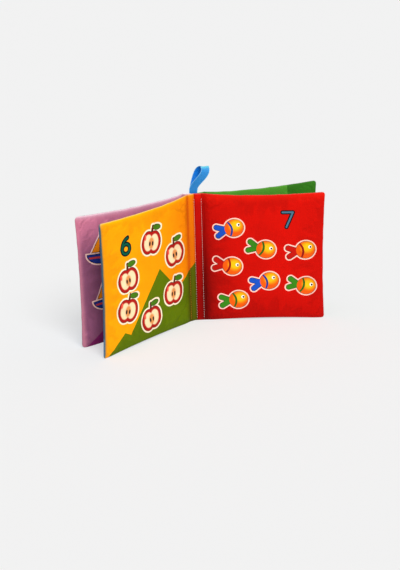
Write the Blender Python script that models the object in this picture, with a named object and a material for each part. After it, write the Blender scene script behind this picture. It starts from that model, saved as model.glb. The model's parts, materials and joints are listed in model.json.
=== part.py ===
"""Crinkle cloth book, standing on its lower edges with its four padded leaves fanned open.

The book is two sewn spreads, one inside the other: the inner spread makes the middle two
leaves and the outer spread makes the front and back covers. Every leaf is two printed
cloths with wadding and a crinkle film between them. A flat sewn gutter joins each leaf to
the spine, where one seam holds both spreads and the tail of a ribbon loop.

X runs to the reader's right, Y runs away from the reader and Z runs up. The origin is on
the floor, at the middle of the inner spread's fold. Headings are degrees from +X, seen
from above.
"""

import math

import bpy
import numpy as np

MM = 0.001

# The pages
page_height = 160 * MM
page_reach = 157 * MM  # from the middle of the spine to a leaf's fore edge
cloth_thickness = 0.7 * MM
wadding_thickness = 2.6 * MM
film_thickness = 0.3 * MM
clearance = 0.3 * MM  # between pieces that touch on the real book
edge_roll = 8 * MM  # how far in from a seam a page reaches its full thickness
page_swell = 0.4 * MM  # how much further each face stands out at the page's middle
side_draw = 1.5 * MM  # how far a side pulls in between its corners
corner_radius = 6 * MM
foot_cut = 0.5 * MM  # the depth to which the lower edges are flattened on the floor

# The fillings
filling_inset = 9 * MM  # from the page's seams to the wadding and the film
wadding_bevel = 3 * MM
wadding_rim_share = 0.45

# The gutters and the spine
gutter_width = 7.8 * MM  # from the inner fold to the channel stitch
closed_gap = 0.7 * MM  # between neighbouring pages when the book is shut
fold_half_width = 2 * MM
cover_fold_half_width = 0.9 * MM
gutter_lap = 2.2 * MM  # where a cover's gutter leaves the inner gutter
back_gutter_run = 2.5 * MM  # how much further out the back cover's channel lies
ribbon_thickness = 0.5 * MM
ribbon_width = 10 * MM

# The threads
thread_width = 0.6 * MM
thread_height = 0.4 * MM
thread_end_margin = 3 * MM
channel_thread_setback = 1.2 * MM

# The ribbon loop
tail_length = 8 * MM
tail_half_width = 1.6 * MM
loop_height = 33 * MM
loop_half_depth = 5.2 * MM
loop_side_place = -0.7 * MM
loop_lean = 12.5 * MM
loop_skew = 2.2 * MM
loop_twist = 12.0  # degrees, at the top
loop_lean_power = 1.5
loop_stations = 30
loop_fine_steps = 40  # of the path, for each station spaced along it

# The way each leaf points, in degrees
left_gutter_heading = 214.5
left_leaf_heading = 228.5
right_gutter_heading = 4.7
right_leaf_heading = -1.3
front_cover_heading = 214.0
back_cover_heading = 18.5

# Where the grid lines of a page lie, as shares of its edge roll and of the run between rolls
edge_line_shares = (0.0, 0.06, 0.25, 0.6, 1.0)
middle_line_shares = (0.25, 0.5, 0.75)
round_end_steps = 8

# Finishes
cloth_roughness = 0.85
wadding_roughness = 0.95
film_roughness = 0.3
ribbon_roughness = 0.5
sharp_edge_angle = 35  # degrees

# Sizes that follow from the ones above
seam_half = clearance / 2 + cloth_thickness
filling_thickness = wadding_thickness + film_thickness + 3 * clearance
page_half = filling_thickness / 2 + cloth_thickness
leaf_pitch = 2 * (page_half + page_swell) + closed_gap
channel_gap = seam_half + clearance
page_length = page_reach - fold_half_width - gutter_width - channel_gap
tail_depth = seam_half + clearance + ribbon_thickness
cover_fold_depth = tail_depth + ribbon_thickness + clearance + seam_half
tail_top = page_height
loop_strand_offset = (ribbon_thickness + clearance) / 2
loop_base_half = loop_strand_offset + ribbon_thickness / 2
loop_pivot_height = tail_top + clearance + loop_base_half

LEFT, RIGHT = 1, -1
TO_READER, FROM_READER = 1, -1

SKY_BLUE = (0.15, 0.38, 0.83)
PINK = (0.58, 0.16, 0.24)
DEEP_BLUE = (0.03, 0.13, 0.50)
AMBER = (1.0, 0.40, 0.01)
RED = (0.68, 0.02, 0.01)
TEAL = (0.19, 0.43, 0.34)
LEAF_GREEN = (0.10, 0.33, 0.05)
FOREST_GREEN = (0.03, 0.18, 0.02)
WADDING_WHITE = (0.85, 0.85, 0.83)
FILM_SILVER = (0.75, 0.78, 0.82)
THREAD_WHITE = (0.9, 0.9, 0.88)
RIBBON_BLUE = (0.06, 0.35, 0.80)


def heading_vector(degrees):
    """The unit vector in plan that points along a heading."""
    return np.array((math.cos(math.radians(degrees)), math.sin(math.radians(degrees))))


def reader_normal(degrees, side):
    """The unit vector in plan square to a leaf, on the side of it that the open book shows."""
    return heading_vector(degrees + side * 90)


def make_material(name, colour, roughness):
    material = bpy.data.materials.new(name)
    material.use_nodes = True
    shader = material.node_tree.nodes["Principled BSDF"]
    shader.inputs["Base Color"].default_value = (*colour, 1.0)
    shader.inputs["Roughness"].default_value = roughness
    shader.inputs["Metallic"].default_value = 0.0
    material.diffuse_color = (*colour, 1.0)
    return material


def add_piece(name, points, faces, colour, roughness=cloth_roughness):
    """Make one named object from its points and its faces, which point outwards."""
    mesh = bpy.data.meshes.new(name)
    mesh.from_pydata([tuple(map(float, p)) for p in points], [], faces)
    mesh.validate()
    mesh.shade_smooth()
    mesh.set_sharp_from_angle(angle=math.radians(sharp_edge_angle))
    piece = bpy.data.objects.new(name, mesh)
    piece.data.materials.append(make_material(name + "_finish", colour, roughness))
    bpy.context.scene.collection.objects.link(piece)
    return piece


def add_prism(name, outline, bottom, top, colour):
    """Raise an outline in plan, listed anticlockwise, from one height to another."""
    count = len(outline)
    points = [(x, y, z) for z in (bottom, top) for x, y in outline]
    faces = [tuple(reversed(range(count))), tuple(range(count, 2 * count))]
    for i in range(count):
        j = (i + 1) % count
        faces.append((i, j, count + j, count + i))
    return add_piece(name, points, faces, colour)


def round_ended_strip(start, end, half_thickness):
    """The outline of a straight strip with a half circle centred on each end."""
    along = np.array(end) - np.array(start)
    first = math.atan2(along[1], along[0]) - math.pi / 2
    outline = []
    for centre, turn in ((end, first), (start, first + math.pi)):
        for step in range(round_end_steps + 1):
            angle = turn + math.pi * step / round_end_steps
            outline.append(np.array(centre) + half_thickness * np.array((math.cos(angle), math.sin(angle))))
    return outline


def add_closed_sheet(name, upper, lower, colour, roughness):
    """Close two like grids of points, an upper and a lower one, with a rim between their edges."""
    rows, columns = upper.shape[:2]
    points = np.concatenate((upper.reshape(-1, 3), lower.reshape(-1, 3)))
    under = rows * columns
    faces = []
    for i in range(rows - 1):
        for j in range(columns - 1):
            a, b = i * columns + j, (i + 1) * columns + j
            faces.append((a, b, b + 1, a + 1))
            faces.append((under + a, under + a + 1, under + b + 1, under + b))
    border = [i * columns for i in range(rows)]
    border += [(rows - 1) * columns + j for j in range(1, columns)]
    border += [i * columns + columns - 1 for i in range(rows - 2, -1, -1)]
    border += list(range(columns - 2, 0, -1))
    for i, a in enumerate(border):
        b = border[(i + 1) % len(border)]
        faces.append((b, a, under + a, under + b))
    return add_piece(name, points, faces, colour, roughness)


def bow(share):
    """0 at both ends of a side and 1 at its middle."""
    return 4 * share * (1 - share)


def roll_profile(distance, width):
    """A quarter round: 0 at the seam, rising steeply, and 1 from that width inwards."""
    left = 1 - np.clip(distance / width, 0, 1)
    return np.sqrt(1 - left * left)


def line_shares(length, roll):
    """Where grid lines cross a length: close together over both rolls, wide between them."""
    first = [share * roll for share in edge_line_shares]
    middle = [roll + share * (length - 2 * roll) for share in middle_line_shares]
    last = [length - place for place in reversed(first)]
    return np.array(first + middle + last) / length


def page_grid(inset, roll):
    """A grid over a page, inset from its seams.

    Gives each point's distance from the channel, its height, its crown from 0 at the edge
    to 1 past the roll, and its swell from 0 at the edge to 1 at the middle. The sides pull
    in between the corners, the lower side is flattened on the floor, and the two corners
    at the fore edge are quarter circles.
    """
    across, up = np.meshgrid(
        line_shares(page_length - 2 * inset, roll), line_shares(page_height - 2 * inset, roll), indexing="ij"
    )
    low = np.maximum(0, side_draw * bow(across) - foot_cut) + inset
    high = page_height - side_draw * bow(across) - inset
    height = low + up * (high - low)
    to_corner = np.minimum(page_height * np.minimum(up, 1 - up), corner_radius)
    corner_inset = corner_radius - np.sqrt(corner_radius**2 - (corner_radius - to_corner) ** 2)
    end = channel_gap + page_length - side_draw * bow(up) - corner_inset - inset
    start = channel_gap + inset
    distance = start + across * (end - start)
    crown = roll_profile(np.minimum(distance - start, end - distance), roll)
    crown = crown * roll_profile(np.minimum(height - low, high - height), roll)
    return distance, height, crown, bow(across) * bow(up)


def on_leaf(leaf, distance, height, offset):
    """Points of a leaf from their distance out, their height and their offset to the reader."""
    along = heading_vector(leaf["heading"])
    across = reader_normal(leaf["heading"], leaf["side"])
    plan = leaf["channel"] + distance[..., None] * along + offset[..., None] * across
    return np.concatenate((plan, height[..., None]), axis=-1)


def add_leaf_sheet(name, leaf, grid, toward, away, colour, roughness=cloth_roughness):
    """A closed sheet between two offsets, the first of them nearer to the reader."""
    distance, height = grid[:2]
    near = on_leaf(leaf, distance, height, toward)
    far = on_leaf(leaf, distance, height, away)
    if leaf["side"] == LEFT:
        near, far = far, near
    return add_closed_sheet(name, near, far, colour, roughness)


def add_page_cloth(name, leaf, face, colour):
    """One cloth of a leaf: a crowned skin, pinched to its partner along the seams."""
    grid = page_grid(0, edge_roll)
    outer = seam_half + (page_half - seam_half) * grid[2] + page_swell * grid[3]
    inner = outer - cloth_thickness
    near, far = (outer, inner) if face == TO_READER else (-inner, -outer)
    return add_leaf_sheet(name, leaf, grid, near, far, colour)


def add_filling(leaf, pad_name, film_name):
    """The wadding behind a leaf's near cloth and the crinkle film behind the wadding."""
    film_far = cloth_thickness + clearance - page_half
    film_near = film_far + film_thickness
    pad_far = film_near + clearance
    grid = page_grid(filling_inset, wadding_bevel)
    flat = np.full_like(grid[0], 1.0)
    rise = wadding_thickness * (wadding_rim_share + (1 - wadding_rim_share) * grid[2])
    add_leaf_sheet(pad_name, leaf, grid, pad_far * flat + rise, pad_far * flat, WADDING_WHITE, wadding_roughness)
    add_leaf_sheet(film_name, leaf, grid, film_near * flat, film_far * flat, FILM_SILVER, film_roughness)


def add_gutter_thread(name, start, end, face, side):
    """A row of stitches on one face of a gutter, set back from the gutter's outer end."""
    along = np.array(end) - np.array(start)
    heading = math.degrees(math.atan2(along[1], along[0]))
    ahead = heading_vector(heading)
    out = reader_normal(heading, side) * face
    middle = np.array(end) - channel_thread_setback * ahead
    return add_thread_bar(name, middle, ahead, out)


def add_thread_bar(name, middle, ahead, out):
    """A thread standing along a fold or a gutter, lifted off its middle plane."""
    lift = seam_half + clearance
    corners = [
        middle + a * thread_width / 2 * ahead + (lift + b * thread_height) * out
        for a, b in ((-1, 0), (1, 0), (1, 1), (-1, 1))
    ]
    if ahead[0] * out[1] - ahead[1] * out[0] < 0:
        corners.reverse()
    return add_prism(name, corners, thread_end_margin, page_height - thread_end_margin, THREAD_WHITE)


def hinge_place(side):
    """Where a gutter folds on the inner spread's fold."""
    return np.array((-side * fold_half_width, 0.0))


def inner_channel(side, gutter_heading):
    """Where an inner leaf's channel stitch stands, at the end of its gutter."""
    return hinge_place(side) + gutter_width * heading_vector(gutter_heading)


def lap_place(side, gutter_heading):
    """Where a cover's gutter lies on the back of the inner gutter, near the spine."""
    apart = 2 * seam_half + clearance
    out = -reader_normal(gutter_heading, side)
    return hinge_place(side) + gutter_lap * heading_vector(gutter_heading) + apart * out


def cover_channel(side, channel, inner_heading, run):
    """Where a cover's channel stitch stands: one page's pitch behind the inner leaf."""
    out = -reader_normal(inner_heading, side)
    return channel + leaf_pitch * out + run * heading_vector(inner_heading)


def add_spine():
    """The two folds at the middle of the book, their seam and the ribbon's sewn tail."""
    fold_ends = hinge_place(LEFT), hinge_place(RIGHT)
    add_prism("inner_fold", round_ended_strip(*fold_ends, seam_half), 0, page_height, AMBER)
    cover_ends = (-cover_fold_half_width, cover_fold_depth), (cover_fold_half_width, cover_fold_depth)
    add_prism("cover_fold", round_ended_strip(*cover_ends, seam_half), 0, page_height, SKY_BLUE)
    ahead = np.array((1.0, 0.0))
    back = np.array((0.0, 1.0))
    fold_middle = np.zeros(2)
    cover_middle = np.array((0.0, cover_fold_depth))
    add_thread_bar("inner_fold_thread", fold_middle, ahead, -back)
    add_thread_bar("cover_fold_thread", cover_middle, ahead, back)
    near, far = tail_depth - ribbon_thickness, tail_depth + ribbon_thickness
    seam_top = tail_top - tail_length - clearance
    seam = [(-thread_width, near), (thread_width, near), (thread_width, far), (-thread_width, far)]
    add_prism("spine_seam_thread", seam, foot_cut, seam_top, THREAD_WHITE)
    wide = tail_half_width
    tail = [(-wide, near), (wide, near), (wide, far), (-wide, far)]
    add_prism("loop_tail", tail, tail_top - tail_length, tail_top, RIBBON_BLUE)


def loop_path(turns):
    """The ribbon's middle line, as a drop standing on its point.

    The turn runs from minus pi at the near strand's foot, through 0 at the top, to pi at
    the far strand's foot. Height is half the loop's height times one plus the turn's
    cosine, and depth is the sine times the squared cosine of half the turn, as a share of
    its greatest value. The whole leans to the right, and the far strand is skewed left.
    """
    rise = (1 + np.cos(turns)) / 2
    drop = np.sin(turns) * np.cos(turns / 2) ** 2
    drop_share = drop / np.sin(math.pi / 3) / math.cos(math.pi / 6) ** 2
    depth = loop_half_depth * drop_share + loop_strand_offset * np.sin(turns / 2)
    twist = np.radians(loop_twist) * rise
    side = loop_side_place + loop_lean * rise**loop_lean_power - loop_skew * drop_share
    x = side - depth * np.sin(twist)
    y = tail_depth + depth * np.cos(twist)
    z = loop_pivot_height + (loop_height - loop_pivot_height + page_height) * rise
    return np.stack((x, y, z), axis=-1), twist


def add_loop():
    """The free part of the ribbon: a flat band carried round the loop's path."""
    fine = np.linspace(-math.pi, math.pi, loop_fine_steps * loop_stations)
    path, twist = loop_path(fine)
    run = np.concatenate(([0], np.cumsum(np.linalg.norm(np.diff(path, axis=0), axis=1))))
    even = np.linspace(0, run[-1], loop_stations)
    points = np.stack([np.interp(even, run, path[:, k]) for k in range(3)], axis=-1)
    turn = np.interp(even, run, twist)
    ahead = np.gradient(points, axis=0)
    ahead[0], ahead[-1] = (0, 0, 1), (0, 0, -1)  # both feet stand upright in the seam
    ahead /= np.linalg.norm(ahead, axis=1)[:, None]
    wide = np.stack((np.cos(turn), np.sin(turn), np.zeros_like(turn)), axis=-1)
    wide -= (wide * ahead).sum(1)[:, None] * ahead
    wide /= np.linalg.norm(wide, axis=1)[:, None]
    out = np.cross(ahead, wide)
    corners = [(-1, -1), (1, -1), (1, 1), (-1, 1)]
    rings = [points + a * ribbon_width / 2 * wide + b * ribbon_thickness / 2 * out for a, b in corners]
    rings = np.stack(rings, axis=1).reshape(-1, 3)
    faces = [(3, 2, 1, 0), tuple(4 * (loop_stations - 1) + k for k in range(4))]
    for i in range(loop_stations - 1):
        for k in range(4):
            a, b = 4 * i + k, 4 * i + (k + 1) % 4
            faces.append((a, b, b + 4, a + 4))
    add_piece("hanging_loop", rings, faces, RIBBON_BLUE, ribbon_roughness)


def add_pair(side, headings, colours, names, run):
    """An inner leaf and the cover behind it, with their gutters, threads and fillings."""
    gutter_heading, inner_heading, cover_heading = headings
    channel = inner_channel(side, gutter_heading)
    lap = lap_place(side, gutter_heading)
    back_channel = cover_channel(side, channel, inner_heading, run)
    inner = {"channel": channel, "heading": inner_heading, "side": side}
    cover = {"channel": back_channel, "heading": cover_heading, "side": side}
    near, far, cover_near, cover_far = names["cloths"]
    gutter_start = hinge_place(side) + (2 * seam_half + clearance) * heading_vector(gutter_heading)
    gutter = round_ended_strip(gutter_start, channel, seam_half)
    add_prism(names["gutter"], gutter, 0, page_height, colours[0])
    cover_gutter = round_ended_strip(lap, back_channel, seam_half)
    add_prism(names["cover_gutter"], cover_gutter, 0, page_height, colours[3])
    add_page_cloth(near + "_cloth", inner, TO_READER, colours[0])
    add_page_cloth(far + "_cloth", inner, FROM_READER, colours[1])
    add_page_cloth(cover_near + "_cloth", cover, TO_READER, colours[2])
    add_page_cloth(cover_far + "_cloth", cover, FROM_READER, colours[3])
    add_filling(inner, names["page"] + "_wadding", names["page"] + "_crinkle_film")
    add_filling(cover, cover_far + "_wadding", cover_far + "_crinkle_film")
    seams = (
        (near, gutter_start, channel, TO_READER),
        (far, gutter_start, channel, FROM_READER),
        (cover_near, lap, back_channel, TO_READER),
        (cover_far, lap, back_channel, FROM_READER),
    )
    for page, start, end, face in seams:
        add_gutter_thread(page + "_thread", start, end, face, side)


def main():
    for existing in list(bpy.data.objects):
        bpy.data.objects.remove(existing)
    add_spine()
    add_loop()
    add_pair(
        LEFT,
        (left_gutter_heading, left_leaf_heading, front_cover_heading),
        (AMBER, DEEP_BLUE, PINK, SKY_BLUE),
        {
            "gutter": "left_gutter",
            "cover_gutter": "front_cover_gutter",
            "page": "left_page",
            "cloths": ("yellow_page", "blue_page", "pink_page", "front_cover"),
        },
        0,
    )
    add_pair(
        RIGHT,
        (right_gutter_heading, right_leaf_heading, back_cover_heading),
        (RED, TEAL, LEAF_GREEN, FOREST_GREEN),
        {
            "gutter": "right_gutter",
            "cover_gutter": "back_cover_gutter",
            "page": "right_page",
            "cloths": ("red_page", "teal_page", "green_page", "back_cover"),
        },
        back_gutter_run,
    )


main()
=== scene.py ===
"""A cloth counting book, dressed: padded printed pages, sewn gutters, stitches and a ribbon loop.

Every piece is worked out from the frame, which holds the book's solids, bodies and joints in
metres. X runs to the reader's right, Y away from the reader and Z up. A page's own places are
its run, measured from its channel seam to its fore edge, its height above the floor, and its
offset, measured from the leaf's middle plane towards the reader.
"""

import json
import math

import bpy
import numpy as np
from mathutils import Matrix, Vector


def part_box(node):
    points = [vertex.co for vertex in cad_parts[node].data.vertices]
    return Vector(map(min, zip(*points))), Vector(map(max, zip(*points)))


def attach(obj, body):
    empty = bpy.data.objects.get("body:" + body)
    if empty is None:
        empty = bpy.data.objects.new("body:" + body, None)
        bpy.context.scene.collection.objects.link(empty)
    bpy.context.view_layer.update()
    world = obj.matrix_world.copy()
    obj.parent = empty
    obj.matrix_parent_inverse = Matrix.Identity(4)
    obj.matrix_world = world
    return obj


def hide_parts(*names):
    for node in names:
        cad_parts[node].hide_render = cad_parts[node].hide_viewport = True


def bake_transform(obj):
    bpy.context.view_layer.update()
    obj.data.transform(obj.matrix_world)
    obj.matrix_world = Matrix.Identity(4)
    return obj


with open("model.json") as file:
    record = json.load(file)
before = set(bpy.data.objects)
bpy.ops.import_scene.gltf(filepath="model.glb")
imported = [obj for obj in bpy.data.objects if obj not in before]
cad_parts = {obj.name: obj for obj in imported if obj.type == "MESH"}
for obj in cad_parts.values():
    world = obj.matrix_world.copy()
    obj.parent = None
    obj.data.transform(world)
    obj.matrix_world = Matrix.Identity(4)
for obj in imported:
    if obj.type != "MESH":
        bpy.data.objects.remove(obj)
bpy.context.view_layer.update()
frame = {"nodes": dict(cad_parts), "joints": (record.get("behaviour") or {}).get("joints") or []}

bl_info = {
    "name": "Cloth Counting Book",
    "version": (1, 0, 0),
    "blender": (4, 5, 0),
    "location": "View3D > Sidebar > Cloth Book",
    "description": "Dresses the frame of a crinkle cloth book with its cloths, stitches, ribbon and stage",
    "category": "Mesh",
}

MM = 0.001
TO_READER, FROM_READER = 1, -1


def srgb(red, green, blue):
    """A colour picked on a screen, from 0 to 255, as the linear light that it stands for."""
    shares = np.array((red, green, blue)) / 255
    light = np.where(shares <= 0.04045, shares / 12.92, ((shares + 0.055) / 1.055) ** 2.4)
    return tuple(float(value) for value in light)


# Printing inks of the pictures
INK_DARK = srgb(28, 20, 24)
INK_BROWN = srgb(96, 36, 20)
CREAM = srgb(255, 238, 205)
PALE_PINK = srgb(255, 205, 190)
APPLE_RED = srgb(176, 26, 20)
APPLE_FLESH = srgb(255, 226, 178)
APPLE_CORE = srgb(226, 150, 84)
APPLE_GLOSS = srgb(240, 90, 70)
LEAF_INK = srgb(70, 120, 20)
STALK_INK = srgb(150, 200, 60)
FISH_ORANGE = srgb(238, 92, 14)
ORANGE = srgb(255, 140, 15)
SUN_YELLOW = srgb(255, 196, 20)
SAIL_RED = srgb(205, 32, 30)
HULL_STRIPE = srgb(205, 60, 60)
NAVY = srgb(30, 50, 130)
PETAL_RED = srgb(214, 40, 60)
PETAL_VIOLET = srgb(120, 70, 190)
BALL_RED = srgb(214, 30, 24)
TAIL_BLUE = srgb(25, 80, 190)
TAIL_GREEN = srgb(55, 130, 25)
TAIL_RED = srgb(190, 20, 10)
WHITE_INK = srgb(250, 250, 248)

# What makes a leaf: the cloth towards the reader, the one behind it, its filling and its body
LEAVES = {
    "left": ("yellow_page", "blue_page", "left_page", "left_leaf"),
    "front": ("pink_page", "front_cover", "front_cover", "front_cover_leaf"),
    "right": ("red_page", "teal_page", "right_page", "right_leaf"),
    "back": ("green_page", "back_cover", "back_cover", "back_cover_leaf"),
}

# How each leaf came out of the sewing, in millimetres: the radius of its corners at the fore
# edge, how much longer its foot is than its head, and how far its fore seam is rolled to the reader
LEAF_CUTS = {
    "left": (2.8, 3.4, 2.1),
    "front": (4.6, 0.6, -0.6),
    "right": (3.6, 0.0, -0.4),
    "back": (4.2, 0.0, -0.5),
}

# The hinges that cover leaves turn on, which their cloths reach in to
COVER_HINGES = {"front": "front_cover_turn", "back": "back_cover_turn"}


def number_setting(name, description, default, **options):
    """A number that the sidebar shows."""
    return bpy.props.FloatProperty(name=name, description=description, default=default, **options)


def length_setting(name, description, millimetres):
    """A size, given in millimetres and kept in metres, that the sidebar shows in the scene's unit."""
    options = {"min": 0.0, "precision": 5, "subtype": "DISTANCE", "unit": "LENGTH"}
    return number_setting(name, description, millimetres * MM, **options)


def angle_setting(name, description, degrees):
    """An angle that is given in degrees."""
    return number_setting(name, description, math.radians(degrees), subtype="ANGLE")


def vector_setting(name, description, default, **options):
    """Three numbers that belong together."""
    return bpy.props.FloatVectorProperty(name=name, description=description, default=default, **options)


def colour_setting(name, description, *colour):
    """A colour that the sidebar shows as a swatch, given as it is picked on a screen."""
    return vector_setting(name, description, srgb(*colour), min=0.0, max=1.0, subtype="COLOR")


class PageSettings(bpy.types.PropertyGroup):
    """How the padded pages are cut and how their cloth lies."""

    cloth: length_setting("Cloth", "Thickness of a printed cloth with its seam allowance", 0.7)
    roll: length_setting("Edge roll", "How far in from a seam a page reaches its full thickness", 8)
    side_draw: length_setting("Side draw", "How far a side pulls in between its corners", 1.9)
    firm_roll: length_setting("Firm roll", "The edge roll where a seam is rolled to the other side", 3.6)
    foot_cut: length_setting("Foot flat", "How far the lower edge is flattened on the floor", 0.5)
    swell: length_setting("Swell", "How much further each face stands out at its middle", 0.4)
    ease: length_setting("Ease", "How far under full thickness the cloth lies before it creases", 0.15)
    spine_rise: length_setting("Spine rise", "How much taller the gutters stand than the pages", 1.8)
    spine_fall: length_setting("Spine fall", "How far from its channel a page falls to its height", 22)
    edge_wave: length_setting("Edge wave", "How far the sewn edges wander from a fair line", 0.3)
    pucker: length_setting("Seam pucker", "Depth of the small gathers beside a seam", 0.11)
    pucker_reach: length_setting("Pucker reach", "How far from the seam the gathers are deepest", 3.2)
    # The next four sizes reach over painted light and shade: painted shade beside the channel and along a
    # rolled seam, and a painted highlight along the head
    fold_reach: length_setting("Fold reach", "How far from its channel a page's ink looks deeper", 3.6)
    head_reach: length_setting("Head light reach", "How far below its top a page's ink looks paler", 1.6)
    seam_shade: length_setting("Seam shade", "How far from a rolled seam the cloth looks dull", 1.15)
    turned_shade: length_setting("Turned shade", "The same on the cloth that is turned forward", 4)
    crease: length_setting("Crease", "Depth of the soft creases across a page", 0.26)
    ripple: length_setting("Ripple", "Height of the broad, slow unevenness of the filling", 0.2)
    sim_detail: length_setting("Wrinkles", "The most that a simulated wrinkle may add or take", 0.26)
    creases: bpy.props.IntProperty(name="Creases", description="Creases across one page", default=16, min=0)


class GutterSettings(bpy.types.PropertyGroup):
    """How the flat gutters between the spine and the pages are padded and sewn."""

    half: length_setting("Half thickness", "Half a gutter's thickness where it is fullest", 0.95)
    end_roll: length_setting("End roll", "How far from its ends a gutter reaches its thickness", 1.1)
    hem_roll: length_setting("Hem roll", "How far below its top a gutter reaches its thickness", 1.6)
    bend_reach: length_setting("Bend reach", "How widely a gutter's bends are rounded", 1.4)
    overlap: length_setting("Overlap", "How far two gutters run into each other at the spine seam", 0.45)
    tuck: length_setting("Tuck", "How far a gutter runs in under the page that it is part of", 0.8)
    dip: length_setting("Stitch dip", "How deep a row of stitches pulls the cloth in", 0.5)
    dip_reach: length_setting("Dip reach", "How far from the stitches that dip reaches", 0.8)
    setback: length_setting("Stitch setback", "From the channel to its row of stitches", 1.2)
    # Painted shade beside a gutter's folds, and deeper painted shade low in the left gutter
    fold_reach: length_setting("Fold reach", "How far from a fold a gutter's ink looks deeper", 1.7)
    deep_shade: number_setting("Deep shade", "How much deeper the left gutter's ink looks at its foot", 0.5)


class StitchSettings(bpy.types.PropertyGroup):
    """The sewing machine's stitch."""

    pitch: length_setting("Pitch", "From one needle hole to the next", 3.0)
    length: length_setting("Length", "The part of a stitch that shows", 2.5)
    radius: length_setting("Thread radius", "Half the thread's thickness", 0.17)
    raise_height: length_setting("Raise", "How far a stitch's middle stands over the cloth", 0.1)
    margin: length_setting("Margin", "Bare length at each end of a row", 3.0)


class RibbonSettings(bpy.types.PropertyGroup):
    """The hanging loop: a ribbon folded on itself, leaning to the right."""

    width: length_setting("Width", "Width of the ribbon", 10)
    thickness: length_setting("Thickness", "Thickness of the ribbon", 0.5)
    strand_gap: length_setting("Strand gap", "Between the two strands at the foot", 0.3)
    half_depth: length_setting("Half depth", "Half the loop's greatest depth", 5.2)
    lean: length_setting("Lean", "How far right of its foot the loop's top lies", 14.4)
    top_rise: length_setting("Top rise", "How far the loop stands over its plain solid", 0.9)
    far_lean: length_setting("Far lean", "How far the far strand leans below the fold at the top", 11.0)
    twist: angle_setting("Twist", "Turn of the ribbon at its top, of which its foot has half", 12)
    tail_width: length_setting("Tail width", "Width of the gathered tail in the spine seam", 3.0)
    tail_drop: length_setting("Tail drop", "How far the tail reaches down into the spine", 7.5)
    rib_pitch: length_setting("Rib pitch", "From one rib of the ribbon to the next", 0.9)
    rib_height: length_setting("Rib height", "How far the ribs stand out", 0.05)


class ColourSettings(bpy.types.PropertyGroup):
    """The ground colours of the cloths, and the plain finishes."""

    yellow_page: colour_setting("Yellow page", "Ground of page 6", 255, 163, 0)
    hill: colour_setting("Hills", "Hills along the foot of page 6", 90, 114, 0)
    blue_page: colour_setting("Blue page", "Ground of page 5", 36, 88, 176)
    pink_page: colour_setting("Pink page", "Ground of page 4", 213, 123, 149)
    front_cover: colour_setting("Front cover", "Ground of the front cover", 112, 168, 242)
    red_page: colour_setting("Red page", "Ground of page 7", 206, 10, 0)
    teal_page: colour_setting("Teal page", "Ground of page 8", 120, 176, 155)
    green_page: colour_setting("Green page", "Ground of page 9", 80, 152, 44)
    back_cover: colour_setting("Back cover", "Ground of the back cover", 50, 120, 36)
    ribbon: colour_setting("Ribbon", "The hanging loop", 44, 140, 214)
    thread: colour_setting("Thread", "The sewing thread", 236, 234, 228)
    amber_thread: colour_setting("Amber thread", "Thread of the yellow page's own row", 224, 132, 20)
    wadding: colour_setting("Wadding", "The padding inside the leaves", 236, 236, 232)
    film: colour_setting("Film", "The crinkle film inside the leaves", 205, 212, 220)
    floor: colour_setting("Floor", "The floor and what lies behind it", 247, 247, 247)


class StageSettings(bpy.types.PropertyGroup):
    """The camera, the lamps and the floor."""

    focal_pixels: number_setting("Focal length", "In pixels of an image 570 pixels tall", 1200.0)
    image_height: number_setting("Image height", "In pixels", 570.0)
    pitch: angle_setting("Pitch", "How far the camera looks down", 19.31)
    roll: angle_setting("Roll", "How far the camera leans", -1.585)
    distance: length_setting("Distance", "From the camera to the point that it looks at", 1471.6)
    aim: vector_setting("Aim", "The point that the camera looks at", (0.00437, 0.0, 0.04575), subtype="XYZ")
    sky: number_setting("Sky", "Strength of the light from all round", 0.42)
    backdrop: number_setting("Backdrop", "Strength at which the backdrop is seen, as the lit floor is", 0.955)
    sun: number_setting("Sun", "Strength of the large lamp", 2.45)
    sun_from: vector_setting("Sun from", "Where the large lamp stands, seen from the book", (0.35, -1.0, 1.1))
    sun_spread: angle_setting("Sun spread", "How wide the large lamp looks", 34)
    floor_size: length_setting("Floor size", "Half the side of the floor", 9000)
    floor_evenness: number_setting("Floor evenness", "The floor's share of the backdrop's even tone", 0.55)


def settings():
    """The book's settings, which the scene keeps."""
    return bpy.context.scene.cloth_book


class BookSettings(bpy.types.PropertyGroup):
    """Everything that the sidebar offers to change."""

    page: bpy.props.PointerProperty(type=PageSettings, name="Pages", description="The padded pages")
    gutter: bpy.props.PointerProperty(type=GutterSettings, name="Gutters", description="The sewn gutters")
    stitch: bpy.props.PointerProperty(type=StitchSettings, name="Stitches", description="The sewing")
    ribbon: bpy.props.PointerProperty(type=RibbonSettings, name="Ribbon", description="The hanging loop")
    colour: bpy.props.PointerProperty(type=ColourSettings, name="Colours", description="Cloth and thread")
    stage: bpy.props.PointerProperty(type=StageSettings, name="Stage", description="Camera and light")


# Reading the frame


def node_points(name):
    """Every corner of a node of the frame, as rows of x, y and z."""
    mesh = frame["nodes"][name].data
    points = np.empty(len(mesh.vertices) * 3)
    mesh.vertices.foreach_get("co", points)
    return points.reshape(-1, 3)


def joint_place(name):
    """Where a joint stands in plan."""
    joint = next(joint for joint in frame["joints"] if joint["name"] == name)
    return np.array(joint["pos_m"][:2])


def long_way(points):
    """The level direction in which points spread most, turned away from the spine."""
    plan = points[:, :2]
    centre = plan.mean(0)
    along = np.linalg.svd(plan - centre, full_matrices=False)[2][0]
    return along if along @ centre >= 0 else -along


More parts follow.
